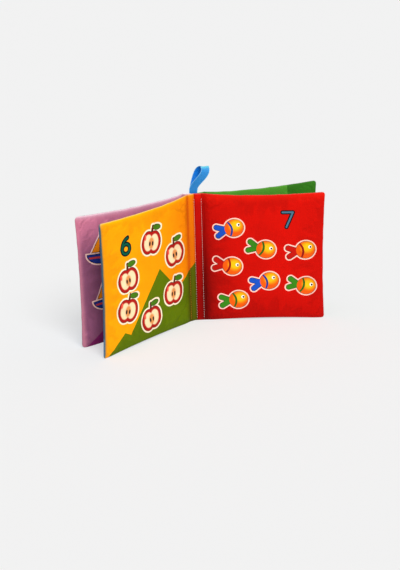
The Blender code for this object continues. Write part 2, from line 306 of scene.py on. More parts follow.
def read_leaf(name):
    """A leaf's plane and size, measured on its two cloths and the flat film inside it, and its cut."""
    near_name, far_name, filling, body = LEAVES[name]
    near = node_points(near_name + "_cloth")
    far = node_points(far_name + "_cloth")
    along = long_way(node_points(filling + "_crinkle_film"))
    out = np.array((along[1], -along[0]))
    if (near.mean(0) - far.mean(0))[:2] @ out < 0:
        out = -out
    run = np.concatenate((near, far))[:, :2] @ along
    near_face = (near[:, :2] @ out).max()
    far_face = (far[:, :2] @ out).min()
    origin = run.min() * along + (near_face + far_face) / 2 * out
    hinge = joint_place(COVER_HINGES[name]) if name in COVER_HINGES else origin
    return {
        "along": along,
        "out": out,
        "origin": origin,
        "lap": (origin - hinge) @ along,
        "length": run.max() - run.min(),
        "height": near[:, 2].max(),
        "half": (near_face - far_face) / 2,
        "body": body,
        "cut": [size * MM for size in LEAF_CUTS[name]],
    }


def read_strip(name):
    """The two centres of a round-ended strip in plan, the outer one last, and half its thickness."""
    points = node_points(name)
    along = long_way(points)
    across = np.array((-along[1], along[0]))
    run = points[:, :2] @ along
    side = points[:, :2] @ across
    half = (side.max() - side.min()) / 2
    middle = (side.max() + side.min()) / 2 * across
    return (run.min() + half) * along + middle, (run.max() - half) * along + middle, half


def frame_height():
    """The height of the book's pages."""
    return float(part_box("inner_fold")[1][2])


# Meshes


def pair_faces(rows, columns):
    """Quads of two like grids and of the rim between their borders, as rows of four corners."""
    index = np.arange(rows * columns).reshape(rows, columns)
    front = np.stack((index[:-1, :-1], index[1:, :-1], index[1:, 1:], index[:-1, 1:]), axis=-1).reshape(-1, 4)
    back = front[:, ::-1] + rows * columns
    border = np.concatenate((index[:-1, 0], index[-1, :-1], index[:0:-1, -1], index[0, :0:-1]))
    following = np.roll(border, -1)
    rim = np.stack((following, border, border + rows * columns, following + rows * columns), axis=-1)
    return front, back, rim


def outward(points, faces):
    """The faces, turned over if the volume that they close comes out negative."""
    corners = points[faces]
    first, second, third, fourth = (corners[:, k] for k in range(4))
    volume = (np.cross(first, second) * third).sum() + (np.cross(first, third) * fourth).sum()
    return faces if volume > 0 else faces[:, ::-1]


def mesh_piece(name, points, faces, materials, uv=None, face_materials=None, **attributes):
    """A smooth piece at the origin, from corners, quads, a UV for each corner and point attributes."""
    faces = outward(points, faces)
    mesh = bpy.data.meshes.new(name)
    mesh.vertices.add(len(points))
    mesh.vertices.foreach_set("co", points.astype(np.float32).ravel())
    mesh.loops.add(faces.size)
    mesh.loops.foreach_set("vertex_index", faces.astype(np.int32).ravel())
    mesh.polygons.add(len(faces))
    mesh.polygons.foreach_set("loop_start", np.arange(0, faces.size, faces.shape[1], dtype=np.int32))
    if face_materials is not None:
        mesh.polygons.foreach_set("material_index", face_materials.astype(np.int32))
    mesh.update(calc_edges=True)
    mesh.validate()
    mesh.shade_smooth()
    if uv is not None:
        layer = mesh.uv_layers.new(name="Cloth")
        layer.uv.foreach_set("vector", uv[faces.ravel()].astype(np.float32).ravel())
    for attribute, values in attributes.items():
        data = mesh.attributes.new(attribute, "FLOAT", "POINT").data
        data.foreach_set("value", values.astype(np.float32).ravel())
    piece = bpy.data.objects.new(name, mesh)
    for material in materials:
        mesh.materials.append(material)
    bpy.context.scene.collection.objects.link(piece)
    return piece


def closed_pair(name, front, back, uv, material, **attributes):
    """One closed skin from two like grids.

    An attribute is one grid, which both skins take, or a pair of grids.
    """
    points = np.concatenate((front.reshape(-1, 3), back.reshape(-1, 3)))
    faces = np.concatenate(pair_faces(*front.shape[:2]))
    doubled = {}
    for key, value in attributes.items():
        pair = value if value.ndim == 3 else np.stack((value, value))
        doubled[key] = pair.ravel()
    return mesh_piece(name, points, faces, [material], np.tile(uv.reshape(-1, 2), (2, 1)), **doubled)


# Shapes that several pieces use

# The power that a roll's quarter round is raised to: the lower it is, the firmer the roll
FIRM_ROLL = 0.22
SOFT_ROLL = 0.4
ROUND_ROLL = 0.5
LOOSE_ROLL = 0.7
FLAT_ROLL = 1.0

# How far a padded piece's faces keep from its middle at a seam, so that they never meet
SEAM_GAP = 0.02 * MM


def bow(share):
    """0 at both ends of a side and 1 at its middle."""
    return 4 * share * (1 - share)


def bell(distance, reach):
    """1 at no distance, and e to the minus square of the distance over its reach."""
    return np.exp(-((distance / reach) ** 2))


def smooth_step(value, start, span):
    """0 up to a start and 1 a span beyond it: three times the squared share less twice its cube."""
    share = np.clip((value - start) / span, 0, 1)
    return share * share * (3 - 2 * share)


def roll_up(distance, width, power=SOFT_ROLL):
    """0 at a seam, rising steeply, and 1 from that width inwards: a quarter round to some power."""
    left = 1 - np.clip(distance / width, 0, 1)
    return (1 - left * left) ** power


def seam_spaced(count, closeness):
    """Shares from 0 to 1 whose steps are smallest at both ends.

    Each is an even share t less closeness times sin(2 pi t) / (2 pi).
    """
    even = np.linspace(0, 1, count)
    return even - closeness * np.sin(2 * math.pi * even) / (2 * math.pi)


def waves(places, lengths, random):
    """The mean of sine waves of the given lengths, each begun at a random place."""
    starts = random.uniform(0, 2 * math.pi, len(lengths))
    total = sum(np.sin(2 * math.pi * places / length + start) for length, start in zip(lengths, starts))
    return total / math.sqrt(len(lengths))


def path_runs(path):
    """The length of a path up to each of its places."""
    return np.concatenate(([0], np.cumsum(np.linalg.norm(np.diff(path, axis=0), axis=1))))


def soften(corners, reach, step):
    """A walk along straight runs, each place replaced by the mean of the places within reach of it."""
    corners = np.array(corners, float)
    first = corners[0] + (corners[0] - corners[1]) / np.linalg.norm(corners[0] - corners[1]) * reach
    last = corners[-1] + (corners[-1] - corners[-2]) / np.linalg.norm(corners[-1] - corners[-2]) * reach
    corners = np.concatenate(([first], corners, [last]))
    runs = path_runs(corners)
    even = np.arange(0, runs[-1], step)
    window = 2 * int(reach / step) + 1
    kernel = np.ones(window) / window
    walks = [np.interp(even, runs, places) for places in corners.T]
    return np.stack([np.convolve(walk, kernel, mode="valid") for walk in walks], axis=-1)


def even_walk(path, shares):
    """Places on a path at shares of its length, with the unit directions there and its length."""
    runs = path_runs(path)
    places = np.stack([np.interp(shares * runs[-1], runs, line) for line in path.T], axis=-1)
    ahead = np.gradient(places, shares, axis=0)
    ahead /= np.linalg.norm(ahead, axis=1)[:, None]
    return places, ahead, runs[-1]


# Page cloths

# The grid over a page, along it and up it, and how close together its lines lie at the seams
PAGE_GRID = (136, 148)
PAGE_CLOSENESS = 0.66

# Lengths of the waves in a sewn edge, in the gathers beside it, and in the filling along and up a page
EDGE_WAVES = (31 * MM, 47 * MM, 83 * MM)
PUCKER_WAVES = (6.1 * MM, 9.7 * MM, 16 * MM, 27 * MM, 41 * MM)
FILLING_WAVES = (38 * MM, 61 * MM, 97 * MM), (43 * MM, 71 * MM, 113 * MM)
FILLING_SLANTS = (0.35, 0.25)

# Between what a crease is drawn: its middle as shares of the page, half its length and its width in
# millimetres, its bend for each metre, and its share of the full depth
CREASE_MIDDLES = (0.1, 0.1), (0.9, 0.9)
CREASE_HALVES = (12, 42)
CREASE_WIDTHS = (1.3, 3.4)
CREASE_BENDS = (-4, 4)
CREASE_SHARES = (0.35, 1.0)
# The hollow beside a crease's ridge: its depth, its distance and its width, as shares of the ridge's
HOLLOW_DEPTH, HOLLOW_AWAY, HOLLOW_WIDTH = 0.7, 1.7, 1.6

# The simulated pages' seeds, and the first page's own
STUDY_SEEDS = (3, 8)
FIRST_PAGE_SEED = 40

# A seam that is rolled further than this turns one cloth forward
ROLLED = 1 * MM
# A turned cloth's share of the painted seam shade, and the share of painted highlight at the head before it
# is held to 1
TURNED_SHADE = 0.55
HEAD_HIGHLIGHT_SHARE = 1.15


def page_plan(leaf, wave_seed):
    """The grid over a page: each point's run and height, and its distances to the four seams.

    The lines lie close together beside the seams. The sides pull in between the corners by a
    bow, wander by slow waves, the lower side is flattened on the floor, and the two corners at
    the fore edge are quarter circles. The foot may be longer than the head.
    """
    sizes = settings().page
    corner, longer_foot, _ = leaf["cut"]
    shares = [seam_spaced(count, PAGE_CLOSENESS) for count in PAGE_GRID]
    across, up = np.meshgrid(*shares, indexing="ij")
    random = np.random.default_rng(wave_seed)
    length, height = leaf["length"], leaf["height"]
    side_wave = sizes.edge_wave * waves(across * length, EDGE_WAVES, random) * bow(across)
    end_wave = sizes.edge_wave * waves(up * height, EDGE_WAVES, random) * bow(up)
    low = np.maximum(0, sizes.side_draw * bow(across) - sizes.foot_cut)
    high = height - sizes.side_draw * bow(across) - np.abs(side_wave)
    high = high + sizes.spine_rise * np.exp(-across * length / sizes.spine_fall)
    rise = low + up * (high - low)
    to_corner = np.minimum(height * np.minimum(up, 1 - up), corner)
    corner_inset = corner - np.sqrt(corner**2 - (corner - to_corner) ** 2)
    end = length - sizes.side_draw * bow(up) - corner_inset - np.abs(end_wave) + longer_foot * (1 - up)
    run = across * (end + leaf["lap"]) - leaf["lap"]
    return {
        "across": across,
        "up": up,
        "run": run,
        "rise": rise,
        "seams": (run + leaf["lap"], end - run, rise - low, high - rise),
    }


def seam_gathers(distance, along, depth, reach, random):
    """Small gathers square to a seam: waves along it, times a rise and fall away from it."""
    fade = distance / reach * np.exp(1 - distance / reach)
    return depth * fade * waves(along, PUCKER_WAVES, random)


def soft_creases(run, rise, count, depth, random):
    """Long shallow folds: each is a ridge with a hollow beside it along a slightly bent line."""
    total = np.zeros_like(run)
    for _ in range(count):
        centre = random.uniform(*CREASE_MIDDLES) * (run.max(), rise.max())
        angle = random.uniform(0, math.pi)
        half_length = random.uniform(*CREASE_HALVES) * MM
        width = random.uniform(*CREASE_WIDTHS) * MM
        bend = random.uniform(*CREASE_BENDS)
        strength = depth * random.uniform(*CREASE_SHARES) * random.choice((-1, 1))
        east, north = run - centre[0], rise - centre[1]
        ahead = east * math.cos(angle) + north * math.sin(angle)
        aside = north * math.cos(angle) - east * math.sin(angle) - bend * ahead**2
        hollow = HOLLOW_DEPTH * bell(aside - HOLLOW_AWAY * width, HOLLOW_WIDTH * width)
        total += strength * (bell(aside, width) - hollow) * np.exp(-((ahead / half_length) ** 4))
    return total


def slow_ripple(run, rise, height, random):
    """Broad unevenness of the filling: the product of waves along the page and up it."""
    east = waves(run + FILLING_SLANTS[0] * rise, FILLING_WAVES[0], random)
    north = waves(rise - FILLING_SLANTS[1] * run, FILLING_WAVES[1], random)
    return height * east * north / 2


def blurred(field, reach, passes=3):
    """A field with each value replaced by the mean of its neighbours, a few times over."""
    kernel = np.ones(2 * reach + 1) / (2 * reach + 1)
    for _ in range(passes):
        for axis in (0, 1):
            padded = np.pad(field, [(reach, reach) if k == axis else (0, 0) for k in (0, 1)], mode="edge")
            field = np.apply_along_axis(np.convolve, axis, padded, kernel, mode="valid")
    return field


class PillowStudy:
    """A cloth simulation of one blown-up page, whose wrinkles the page cloths borrow.

    It is made ten times as large as the page, where the solver is steady.
    """

    scale = 10.0
    columns, rows = 64, 70
    frames = 16
    # How far the two cloths stand apart at first, how unevenly, and at the seam itself
    lift, unevenness, gap = 0.02, 0.002, 0.001
    blur_reach = 5
    solver = {
        "quality": 5,
        "mass": 0.3,
        "tension_stiffness": 20,
        "compression_stiffness": 20,
        "shear_stiffness": 8,
        "bending_stiffness": 0.35,
        "vertex_group_mass": "seam",
        "use_pressure": True,
        "uniform_pressure_force": 1.6,
        "shrink_min": -0.035,
    }

    def __init__(self, length, height, seed):
        self.length = length * self.scale
        self.height = height * self.scale
        self.random = np.random.default_rng(seed)

    def make_pillow(self):
        """Two flat grids a little apart, joined round their border, which the simulation pins."""
        shares = np.linspace(0, 1, self.columns), np.linspace(0, 1, self.rows)
        across, up = np.meshgrid(*shares, indexing="ij")
        crown = bow(across) * bow(up)
        lift = self.lift * crown**0.25 + self.gap
        lift += self.unevenness * self.random.standard_normal(across.shape) * (crown > 0)
        flat = np.stack((across * self.length, np.zeros_like(up), up * self.height), axis=-1)
        front, back = flat.copy(), flat.copy()
        front[..., 1] -= lift
        back[..., 1] += lift
        points = np.concatenate((front.reshape(-1, 3), back.reshape(-1, 3)))
        faces = np.concatenate(pair_faces(self.columns, self.rows))
        pillow = mesh_piece("pillow_study", points, faces, ())
        edge = np.flatnonzero(np.tile((crown <= 0).ravel(), 2))
        pinned = pillow.vertex_groups.new(name="seam")
        pinned.add(edge.tolist(), 1.0, "REPLACE")
        return pillow

    def run(self):
        """How far each point of the near face stands out of its own blurred shape, in metres."""
        pillow = self.make_pillow()
        cloth = pillow.modifiers.new("Cloth", "CLOTH")
        for key, value in self.solver.items():
            setattr(cloth.settings, key, value)
        cloth.settings.effector_weights.gravity = 0.0
        cloth.collision_settings.use_collision = False
        cloth.point_cache.frame_start = 1
        cloth.point_cache.frame_end = self.frames
        scene = bpy.context.scene
        for number in range(1, self.frames + 1):
            scene.frame_set(number)
        result = pillow.evaluated_get(bpy.context.evaluated_depsgraph_get()).data
        points = np.empty(len(result.vertices) * 3)
        result.vertices.foreach_get("co", points)
        near = -points.reshape(2, self.columns, self.rows, 3)[0, ..., 1]
        mesh = pillow.data
        bpy.data.objects.remove(pillow)
        bpy.data.meshes.remove(mesh)
        scene.frame_set(1)
        return (near - blurred(near, self.blur_reach)) / self.scale


def resampled(field, across, up):
    """A field on an even grid, read between its points at shares of its two sides."""
    columns, rows = field.shape
    x, y = across * (columns - 1), up * (rows - 1)
    left = np.clip(x.astype(int), 0, columns - 2)
    under = np.clip(y.astype(int), 0, rows - 2)
    x, y = x - left, y - under
    lower = field[left, under] * (1 - x) + field[left + 1, under] * x
    upper = field[left, under + 1] * (1 - x) + field[left + 1, under + 1] * x
    return lower * (1 - y) + upper * y


def surface_runs(places, offsets, axis):
    """Lengths along a cloth's own surface from its first line: the sum of its steps in place and offset."""
    steps = np.hypot(np.diff(places, axis=axis), np.diff(offsets, axis=axis))
    return np.insert(np.cumsum(steps, axis=axis), 0, 0, axis=axis)


def printed_places(plan, outer):
    """Where each point lay on the flat cloth: its distances along the surface from the page's middle lines.

    Towards the channel the plain run is kept, so that the print meets the gutter's. It gives
    the run, the rise, and how far the point is from the nearest sewn edge.
    """
    run, rise = plan["run"].copy(), plan["rise"]
    runs, rises = surface_runs(run, outer, 0), surface_runs(rise, outer, 1)
    middle, level = run.shape[0] // 2, run.shape[1] // 2
    run[middle:] = run[middle] + runs[middle:] - runs[middle]
    rise = rise[:, level : level + 1] + rises - rises[:, level : level + 1]
    return run, rise, np.minimum.reduce((runs[-1] - runs, rises, rises[:, -1:] - rises))


def page_relief(plan, study, seed):
    """How far a page's cloth stands off its even crown: gathers, creases, ripple and wrinkles.

    The simulated wrinkles are turned end for end by the page's seed, so that pages differ.
    """
    sizes = settings().page
    random = np.random.default_rng(seed)
    run, rise = plan["run"], plan["rise"]
    relief = soft_creases(run, rise, sizes.creases, sizes.crease, random)
    relief += slow_ripple(run, rise, sizes.ripple, random)
    for seam, along in zip(plan["seams"], (rise, rise, run, run)):
        relief += seam_gathers(seam, along, sizes.pucker, sizes.pucker_reach, random)
    if study is not None:
        across = 1 - plan["across"] if seed % 2 else plan["across"]
        up = 1 - plan["up"] if seed % 4 > 1 else plan["up"]
        detail = resampled(study, across, up)
        relief += sizes.sim_detail * np.tanh(detail / sizes.sim_detail)
    return relief * roll_up(np.minimum.reduce(plan["seams"]), sizes.pucker_reach, FLAT_ROLL)


def add_page_cloth(name, leaf, face, study, seed):
    """One closed cloth of a leaf, whose outer skin rolls round to the seam.

    The outer offset is the leaf's half thickness times the rise from each seam, plus the relief.
    At the fore edge both cloths start from the seam's own place, which may be rolled to one side.
    The inner skin is the outer one less the cloth, drawn in from the border by the same amount.
    """
    sizes = settings().page
    plan = page_plan(leaf, len(leaf["body"]))
    run, rise = plan["run"], plan["rise"]
    to_channel, to_fore, to_foot, to_head = plan["seams"]
    to_side = np.minimum(to_foot, to_head)
    towards = face * leaf["cut"][2]
    turned = towards < -ROLLED
    fore = roll_up(to_fore, sizes.firm_roll, FIRM_ROLL) if turned else roll_up(to_fore, sizes.roll)
    crown = roll_up(to_channel, sizes.roll) * fore * roll_up(to_side, sizes.roll)
    start = towards * (1 - fore) * roll_up(to_side, sizes.roll, LOOSE_ROLL)
    relief = page_relief(plan, study, seed)
    full = leaf["half"] - sizes.swell - sizes.ease
    outer = full * crown + sizes.swell * bow(plan["across"]) * bow(plan["up"]) + relief
    outer = start + np.maximum(outer, 0) + SEAM_GAP
    inner = np.maximum(outer - sizes.cloth, start + SEAM_GAP)
    half_length, half_height = leaf["length"] / 2, leaf["height"] / 2
    inner_run = half_length + (run - half_length) * (1 - sizes.cloth / half_length)
    inner_rise = half_height + (rise - half_height) * (1 - sizes.cloth / half_height)

    flat_run, flat_rise, seam_distance = printed_places(plan, outer)
    # Painted shade along a fore seam that is rolled to one side
    shade_reach = sizes.turned_shade if turned else sizes.seam_shade
    shade_share = (TURNED_SHADE if turned else 1.0) * (abs(towards) > ROLLED)

    def placed(runs, rises, offsets):
        level = leaf["origin"] + runs[..., None] * leaf["along"]
        level = level + face * offsets[..., None] * leaf["out"]
        return np.concatenate((level, rises[..., None]), axis=-1)

    return closed_pair(
        name,
        placed(run, rise, outer),
        placed(inner_run, inner_rise, inner),
        page_uv(leaf, face, flat_run, flat_rise),
        page_material(name),
        seam_distance=seam_distance / MM,
        relief=relief / MM,
        # Painted shade beside the channel and along a turned cloth's fore seam, painted seam shade, and a
        # painted highlight along the head
        fold=np.exp(-to_channel / sizes.fold_reach) + turned * np.exp(-to_fore / sizes.fold_reach),
        seam_shade=shade_share * np.exp(-to_fore / shade_reach),
        head_light=head_light(to_head),
    )


def head_light(to_head):
    """The share of the painted highlight: full at the head, and falling off evenly below it."""
    return np.minimum(HEAD_HIGHLIGHT_SHARE * np.exp(-to_head / settings().page.head_reach), 1.0)


def reads_outward(leaf, face):
    """Whether a page is read from its channel to its fore edge, as a right leaf's front is."""
    return (leaf["along"][0] > 0) == (face == TO_READER)


def page_uv(leaf, face, run, rise):
    """Places on a page as it is read, from its lower left corner, as shares of its height."""
    right = run if reads_outward(leaf, face) else leaf["length"] - run
    return np.stack((right, rise), axis=-1) / leaf["height"]


class CLOTHBOOK_OT_page_cloths(bpy.types.Operator):
    """Sew the eight padded page cloths over the four fillings"""

    bl_idname = "clothbook.page_cloths"
    bl_label = "Page Cloths"

    def execute(self, context):
        leaves = {name: read_leaf(name) for name in LEAVES}
        first = leaves["left"]
        studies = [None, None]
        size = first["length"], first["height"]
        studies = [PillowStudy(*size, seed).run() for seed in STUDY_SEEDS]
        count = 0
        for name, (near, far, filling, body) in LEAVES.items():
            leaf = leaves[name]
            for page, face in ((near, TO_READER), (far, FROM_READER)):
                piece = add_page_cloth(page, leaf, face, studies[count % 2], FIRST_PAGE_SEED + count)
                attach(piece, body)
                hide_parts(page + "_cloth")
                count += 1
        return {"FINISHED"}


# Gutters and stitches

# The grid over a gutter, along its section and up it, and how close its lines lie at its ends
GUTTER_COLUMNS, GUTTER_ROWS = 30, 232
SECTION_CLOSENESS, HEIGHT_CLOSENESS = 0.35, 0.6
# The places along the section that stitches are set on, and the step at which bends are worked out
STITCH_COLUMNS = 160
BEND_STEP = 0.05 * MM
GUTTER_WAVES = (13 * MM, 29 * MM, 53 * MM)
# How much fuller a gutter is between two stitches, and in its slow waves, as shares of its thickness
GATHER_FULLNESS, SLOW_FULLNESS = 0.09, 0.05
# Where a gutter starts to follow its leaf: shares of the inner fold and of the run from it to the
# channel, and of the cover fold's width and depth
INNER_BLEND = (0.45, 0.35)
COVER_BLEND = (0.5, 1.0)
# The share of the left gutter's painted deep shade at its head; at its foot it is one more
HEAD_DEEP_SHADE = 0.6

# A stitch's rings and the sides of each, and how near its two holes it is drawn, as a share of it
STITCH_RINGS, STITCH_SIDES = 7, 8
STITCH_END = 0.03
# The powers by which a stitch's thickness and its lift rise from its holes
STITCH_NARROWING, STITCH_LIFT = 0.3, 0.7
# How deep the thread sinks into the cloth, in its radius, and how far stitches slant, in their length
STITCH_SINK = 0.6
STITCH_SLANT = 0.09


def gutter_routes():
    """Each gutter's route in plan from the spine's seam to its channel, and the body that it follows."""
    sizes = settings().gutter
    routes = {}
    for side, inner_name, cover_name, inner_node, cover_node, joint in (
        (-1, "left", "front", "left_gutter", "front_cover_gutter", "left_leaf_turn"),
        (1, "right", "back", "right_gutter", "back_cover_gutter", "right_leaf_turn"),
    ):
        fold = joint_place(joint)
        leaf = read_leaf(inner_name)
        cover = read_leaf(cover_name)
        channel = read_strip(inner_node)[1]
        past = np.array((-side * sizes.overlap, 0.0))
        tucked = leaf["origin"] + sizes.tuck * leaf["along"]
        routes[inner_name] = {
            "corners": [past, fold, channel, tucked],
            "blend": (fold * INNER_BLEND[0], fold + INNER_BLEND[1] * (channel - fold)),
            "channel": channel,
            "leaf": leaf,
            "body": leaf["body"],
            "end_roll": sizes.end_roll,
            "seam_run": abs(past[0]),
            "deep_shade": sizes.deep_shade if inner_name == "left" else 0.0,
        }
        fold_start, fold_end = read_strip("cover_fold")[:2]
        fold_depth = fold_start[1]
        fold_side = np.array((side * abs(fold_end[0]), fold_depth))
        lap, hinge, half = read_strip(cover_node)
        ahead = (hinge - lap) / np.linalg.norm(hinge - lap)
        routes[cover_name] = {
            "corners": [past + (0, fold_depth), fold_side, lap, hinge + half * ahead],
            "blend": (fold_side * COVER_BLEND, lap),
            "channel": hinge,
            "leaf": cover,
            "body": leaf["body"],
            "end_roll": half,
            "seam_run": abs(past[0]),
            "deep_shade": 0.0,
        }
    return routes


def gutter_section(route, columns):
    """A gutter's middle line, its square direction to the reader, its length and its stitch places."""
    sizes = settings().gutter
    path = soften(route["corners"], sizes.bend_reach, BEND_STEP)
    shares = seam_spaced(columns, SECTION_CLOSENESS)
    places, ahead, length = even_walk(path, shares)
    square = np.stack((ahead[:, 1], -ahead[:, 0]), axis=-1)
    if square[-1] @ route["leaf"]["out"] < 0:
        square = -square
    to_channel = np.linalg.norm(path - route["channel"], axis=1).argmin()
    channel_run = np.linalg.norm(np.diff(path[: to_channel + 1], axis=0), axis=1).sum()
    return {
        "places": places,
        "square": square,
        "run": shares * length,
        "length": length,
        "stitch_runs": (route["seam_run"], channel_run - sizes.setback),
        "fold_runs": (route["seam_run"], channel_run),
    }


def gutter_half(section, end_roll, run):
    """Half a gutter's thickness along its run: full, rounded at its ends, and less at its stitches."""
    sizes = settings().gutter
    half = sizes.half * roll_up(run, sizes.overlap * 2, ROUND_ROLL)
    half = half * roll_up(section["length"] - run, end_roll, ROUND_ROLL)
    for place in section["stitch_runs"]:
        half = half - sizes.dip * bell(run - place, sizes.dip_reach) * half / sizes.half
    return half


def add_gutter(name, route, pages):
    """A padded strip, closed at its hems.

    Its two faces lie half its thickness either side of the middle line. The thickness is
    gathered between the stitches and wanders slowly elsewhere.
    """
    sizes = settings().gutter
    stitch = settings().stitch
    leaf = route["leaf"]
    section = gutter_section(route, GUTTER_COLUMNS)
    half = gutter_half(section, route["end_roll"], section["run"])[:, None]
    top = leaf["height"] + settings().page.spine_rise
    rise = top * seam_spaced(GUTTER_ROWS, HEIGHT_CLOSENESS)
    hem = roll_up(np.minimum(rise, top - rise), sizes.hem_roll, ROUND_ROLL)[None, :]
    gather = np.cos(2 * math.pi * (rise - stitch.margin) / stitch.pitch)[None, :]
    slow = waves(rise, GUTTER_WAVES, np.random.default_rng(len(name)))[None, :]
    run = section["run"][:, None]
    near_stitch = sum(bell(run - place, sizes.dip_reach) for place in section["stitch_runs"])
    fullness = 1 + GATHER_FULLNESS * gather * near_stitch
    fullness = fullness + SLOW_FULLNESS * slow * (1 - np.clip(near_stitch, 0, 1))
    thick = np.maximum(half * hem * fullness, SEAM_GAP)

    def face_points(side):
        level = section["places"][:, None, :] + side * thick[..., None] * section["square"][:, None, :]
        return np.concatenate((level, np.broadcast_to(rise[None, :, None], thick.shape + (1,))), axis=-1)

    run_out = np.broadcast_to(run - section["fold_runs"][1], thick.shape)
    rises = np.broadcast_to(rise[None, :], thick.shape)
    uv = [page_uv(leaf, face, run_out, rises).reshape(-1, 2) for face in (TO_READER, FROM_READER)]
    points = np.concatenate((face_points(1).reshape(-1, 3), face_points(-1).reshape(-1, 3)))
    parts = pair_faces(*thick.shape)
    seam = np.minimum(rises, top - rises)
    # Painted shade beside the gutter's folds, deeper towards the foot of the left gutter
    fold = sum(bell(run - place, sizes.fold_reach) for place in section["fold_runs"])
    fold = fold + route["deep_shade"] * (1 + HEAD_DEEP_SHADE - rises / top)
    return mesh_piece(
        name,
        points,
        np.concatenate(parts),
        [page_material(page) for page in pages],
        np.concatenate(uv),
        np.repeat((0, 1, 1), [len(part) for part in parts]),
        seam_distance=np.tile(seam.ravel(), 2) / MM,
        relief=np.zeros(2 * seam.size),
        fold=np.tile(fold.ravel(), 2),
        # Painted highlight along the head
        head_light=np.tile(head_light(top - rises).ravel(), 2),
    )


class CLOTHBOOK_OT_gutters(bpy.types.Operator):
    """Sew the four padded gutters from the spine to the pages"""

    bl_idname = "clothbook.gutters"
    bl_label = "Gutters"

    def execute(self, context):
        routes = gutter_routes()
        for name, piece_name, replaced, slot in (
            ("left", "left_gutter_cloth", ("left_gutter",), "yellow_cloth"),
            ("right", "right_gutter_cloth", ("right_gutter", "inner_fold"), "red_cloth"),
            ("front", "front_cover_gutter_cloth", ("front_cover_gutter", "cover_fold"), "sky_blue_cloth"),
            ("back", "back_cover_gutter_cloth", ("back_cover_gutter",), "forest_green_cloth"),
        ):
            route = routes[name]
            piece = add_gutter(piece_name, route, LEAVES[name][:2])
            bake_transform(piece)
            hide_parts(*replaced)
            length = gutter_section(route, GUTTER_COLUMNS)["length"]
        return {"FINISHED"}


def add_stitch_row(name, place, out, lift, thread, seed):
    """A standing row of stitches: short threads that rise from one needle hole and dive into the next.

    Along a stitch the lift is the sine of its share to the power 0.7, and the thread's radius
    is the sine to the power 0.3, so that it narrows at both holes.
    """
    sizes = settings().stitch
    starts = np.arange(sizes.margin, frame_height() - sizes.margin - sizes.length, sizes.pitch)
    random = np.random.default_rng(seed)
    shares = np.linspace(STITCH_END, 1 - STITCH_END, STITCH_RINGS)
    around = np.arange(STITCH_SIDES) * 2 * math.pi / STITCH_SIDES
    arch = np.sin(math.pi * shares)
    radius = sizes.radius * arch**STITCH_NARROWING
    rise = sizes.raise_height * arch**STITCH_LIFT - STITCH_SINK * sizes.radius
    side = np.array((-out[1], out[0]))
    slant = random.normal(0, STITCH_SLANT, len(starts))[:, None] * (shares - 0.5)[None, :] * sizes.length
    middle = slant[..., None] * side + (lift + rise)[None, :, None] * out + place
    ring_side = np.cos(around)[None, None, :, None] * radius[None, :, None, None] * side
    ring_out = np.sin(around)[None, None, :, None] * radius[None, :, None, None] * out
    plan = middle[:, :, None, :] + ring_side + ring_out
    level = starts[:, None] + shares[None, :] * sizes.length
    level = np.broadcast_to(level[:, :, None, None], plan.shape[:3] + (1,))
    points = np.concatenate((plan, level), axis=-1).reshape(-1, 3)
    stitch_size = STITCH_RINGS * STITCH_SIDES
    index = np.arange(stitch_size).reshape(STITCH_RINGS, STITCH_SIDES)
    following = np.roll(index, -1, axis=1)
    skin = np.stack((index[:-1], following[:-1], following[1:], index[1:]), axis=-1).reshape(-1, 4)
    first, last = index[0], index[-1]
    fan = range(1, STITCH_SIDES - 2, 2)
    caps = [(first[0], first[k + 2], first[k + 1], first[k]) for k in fan]
    caps += [(last[0], last[k], last[k + 1], last[k + 2]) for k in fan]
    quads = np.concatenate((skin, np.array(caps)))
    faces = (quads[None] + (np.arange(len(starts)) * stitch_size)[:, None, None]).reshape(-1, 4)
    around_uv = np.broadcast_to((around / (2 * math.pi))[None, None, :], plan.shape[:3])
    along_uv = np.broadcast_to((shares * sizes.length / MM)[None, :, None], plan.shape[:3])
    uv = np.stack((around_uv, along_uv), axis=-1).reshape(-1, 2)
    return mesh_piece(name, points, faces, [thread_material(thread)], uv)


class CLOTHBOOK_OT_stitches(bpy.types.Operator):
    """Sew the ten rows of stitches on the gutters and the folds"""

    bl_idname = "clothbook.stitches"
    bl_label = "Stitches"

    def execute(self, context):
        routes = gutter_routes()
        rows = [
            ("yellow_page", "left", 1, TO_READER),
            ("blue_page", "left", 1, FROM_READER),
            ("pink_page", "front", 1, TO_READER),
            ("front_cover", "front", 1, FROM_READER),
            ("red_page", "right", 1, TO_READER),
            ("teal_page", "right", 1, FROM_READER),
            ("green_page", "back", 1, TO_READER),
            ("back_cover", "back", 1, FROM_READER),
            ("inner_fold", "right", 0, TO_READER),
            ("cover_fold", "back", 0, FROM_READER),
        ]
        for seed, (row, name, which, face) in enumerate(rows):
            route = routes[name]
            section = gutter_section(route, STITCH_COLUMNS)
            run = section["stitch_runs"][which]
            place, square = (
                np.array([np.interp(run, section["run"], line) for line in section[key].T])
                for key in ("places", "square")
            )
            out = face * square / np.linalg.norm(square)
            lift = float(gutter_half(section, route["end_roll"], np.array(run)))
            thread = "amber_thread" if row == "yellow_page" else "thread"
            piece = add_stitch_row(row + "_stitches", place, out, lift, thread, seed)
            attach(piece, route["body"] if which else "spine")
            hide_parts(row + "_thread")
        return {"FINISHED"}


# The ribbon loop

# Places on the loop's middle line and on each tail, and the grid along and across the ribbon
LOOP_STEPS, TAIL_STEPS = 800, 60
RIBBON_LENGTHS, RIBBON_WIDTHS = 380, 21
# Where on its rise the near strand starts to lean and over how much of it, and the powers by which
# the far strand leans below the top and just under it
LEAN_START, LEAN_SPAN = 0.15, 0.78
FAR_POWER, TOP_POWER = 1.5, 14
# From where under the foot, and over what run, the ribbon opens from its gathered tail
OPEN_START, OPEN_RUN = -1.0 * MM, 2.0 * MM
# The selvedge's width as a share, how thin it is, and how far the ribbon's middle is cupped
SELVEDGE = 0.12
SELVEDGE_THINNESS = 0.35
CUP = 0.35 * MM
# The run at the cut ends over which the ribbon closes, and the share of thickness it keeps there
END_RUN, END_SHARE = 0.6 * MM, 0.1
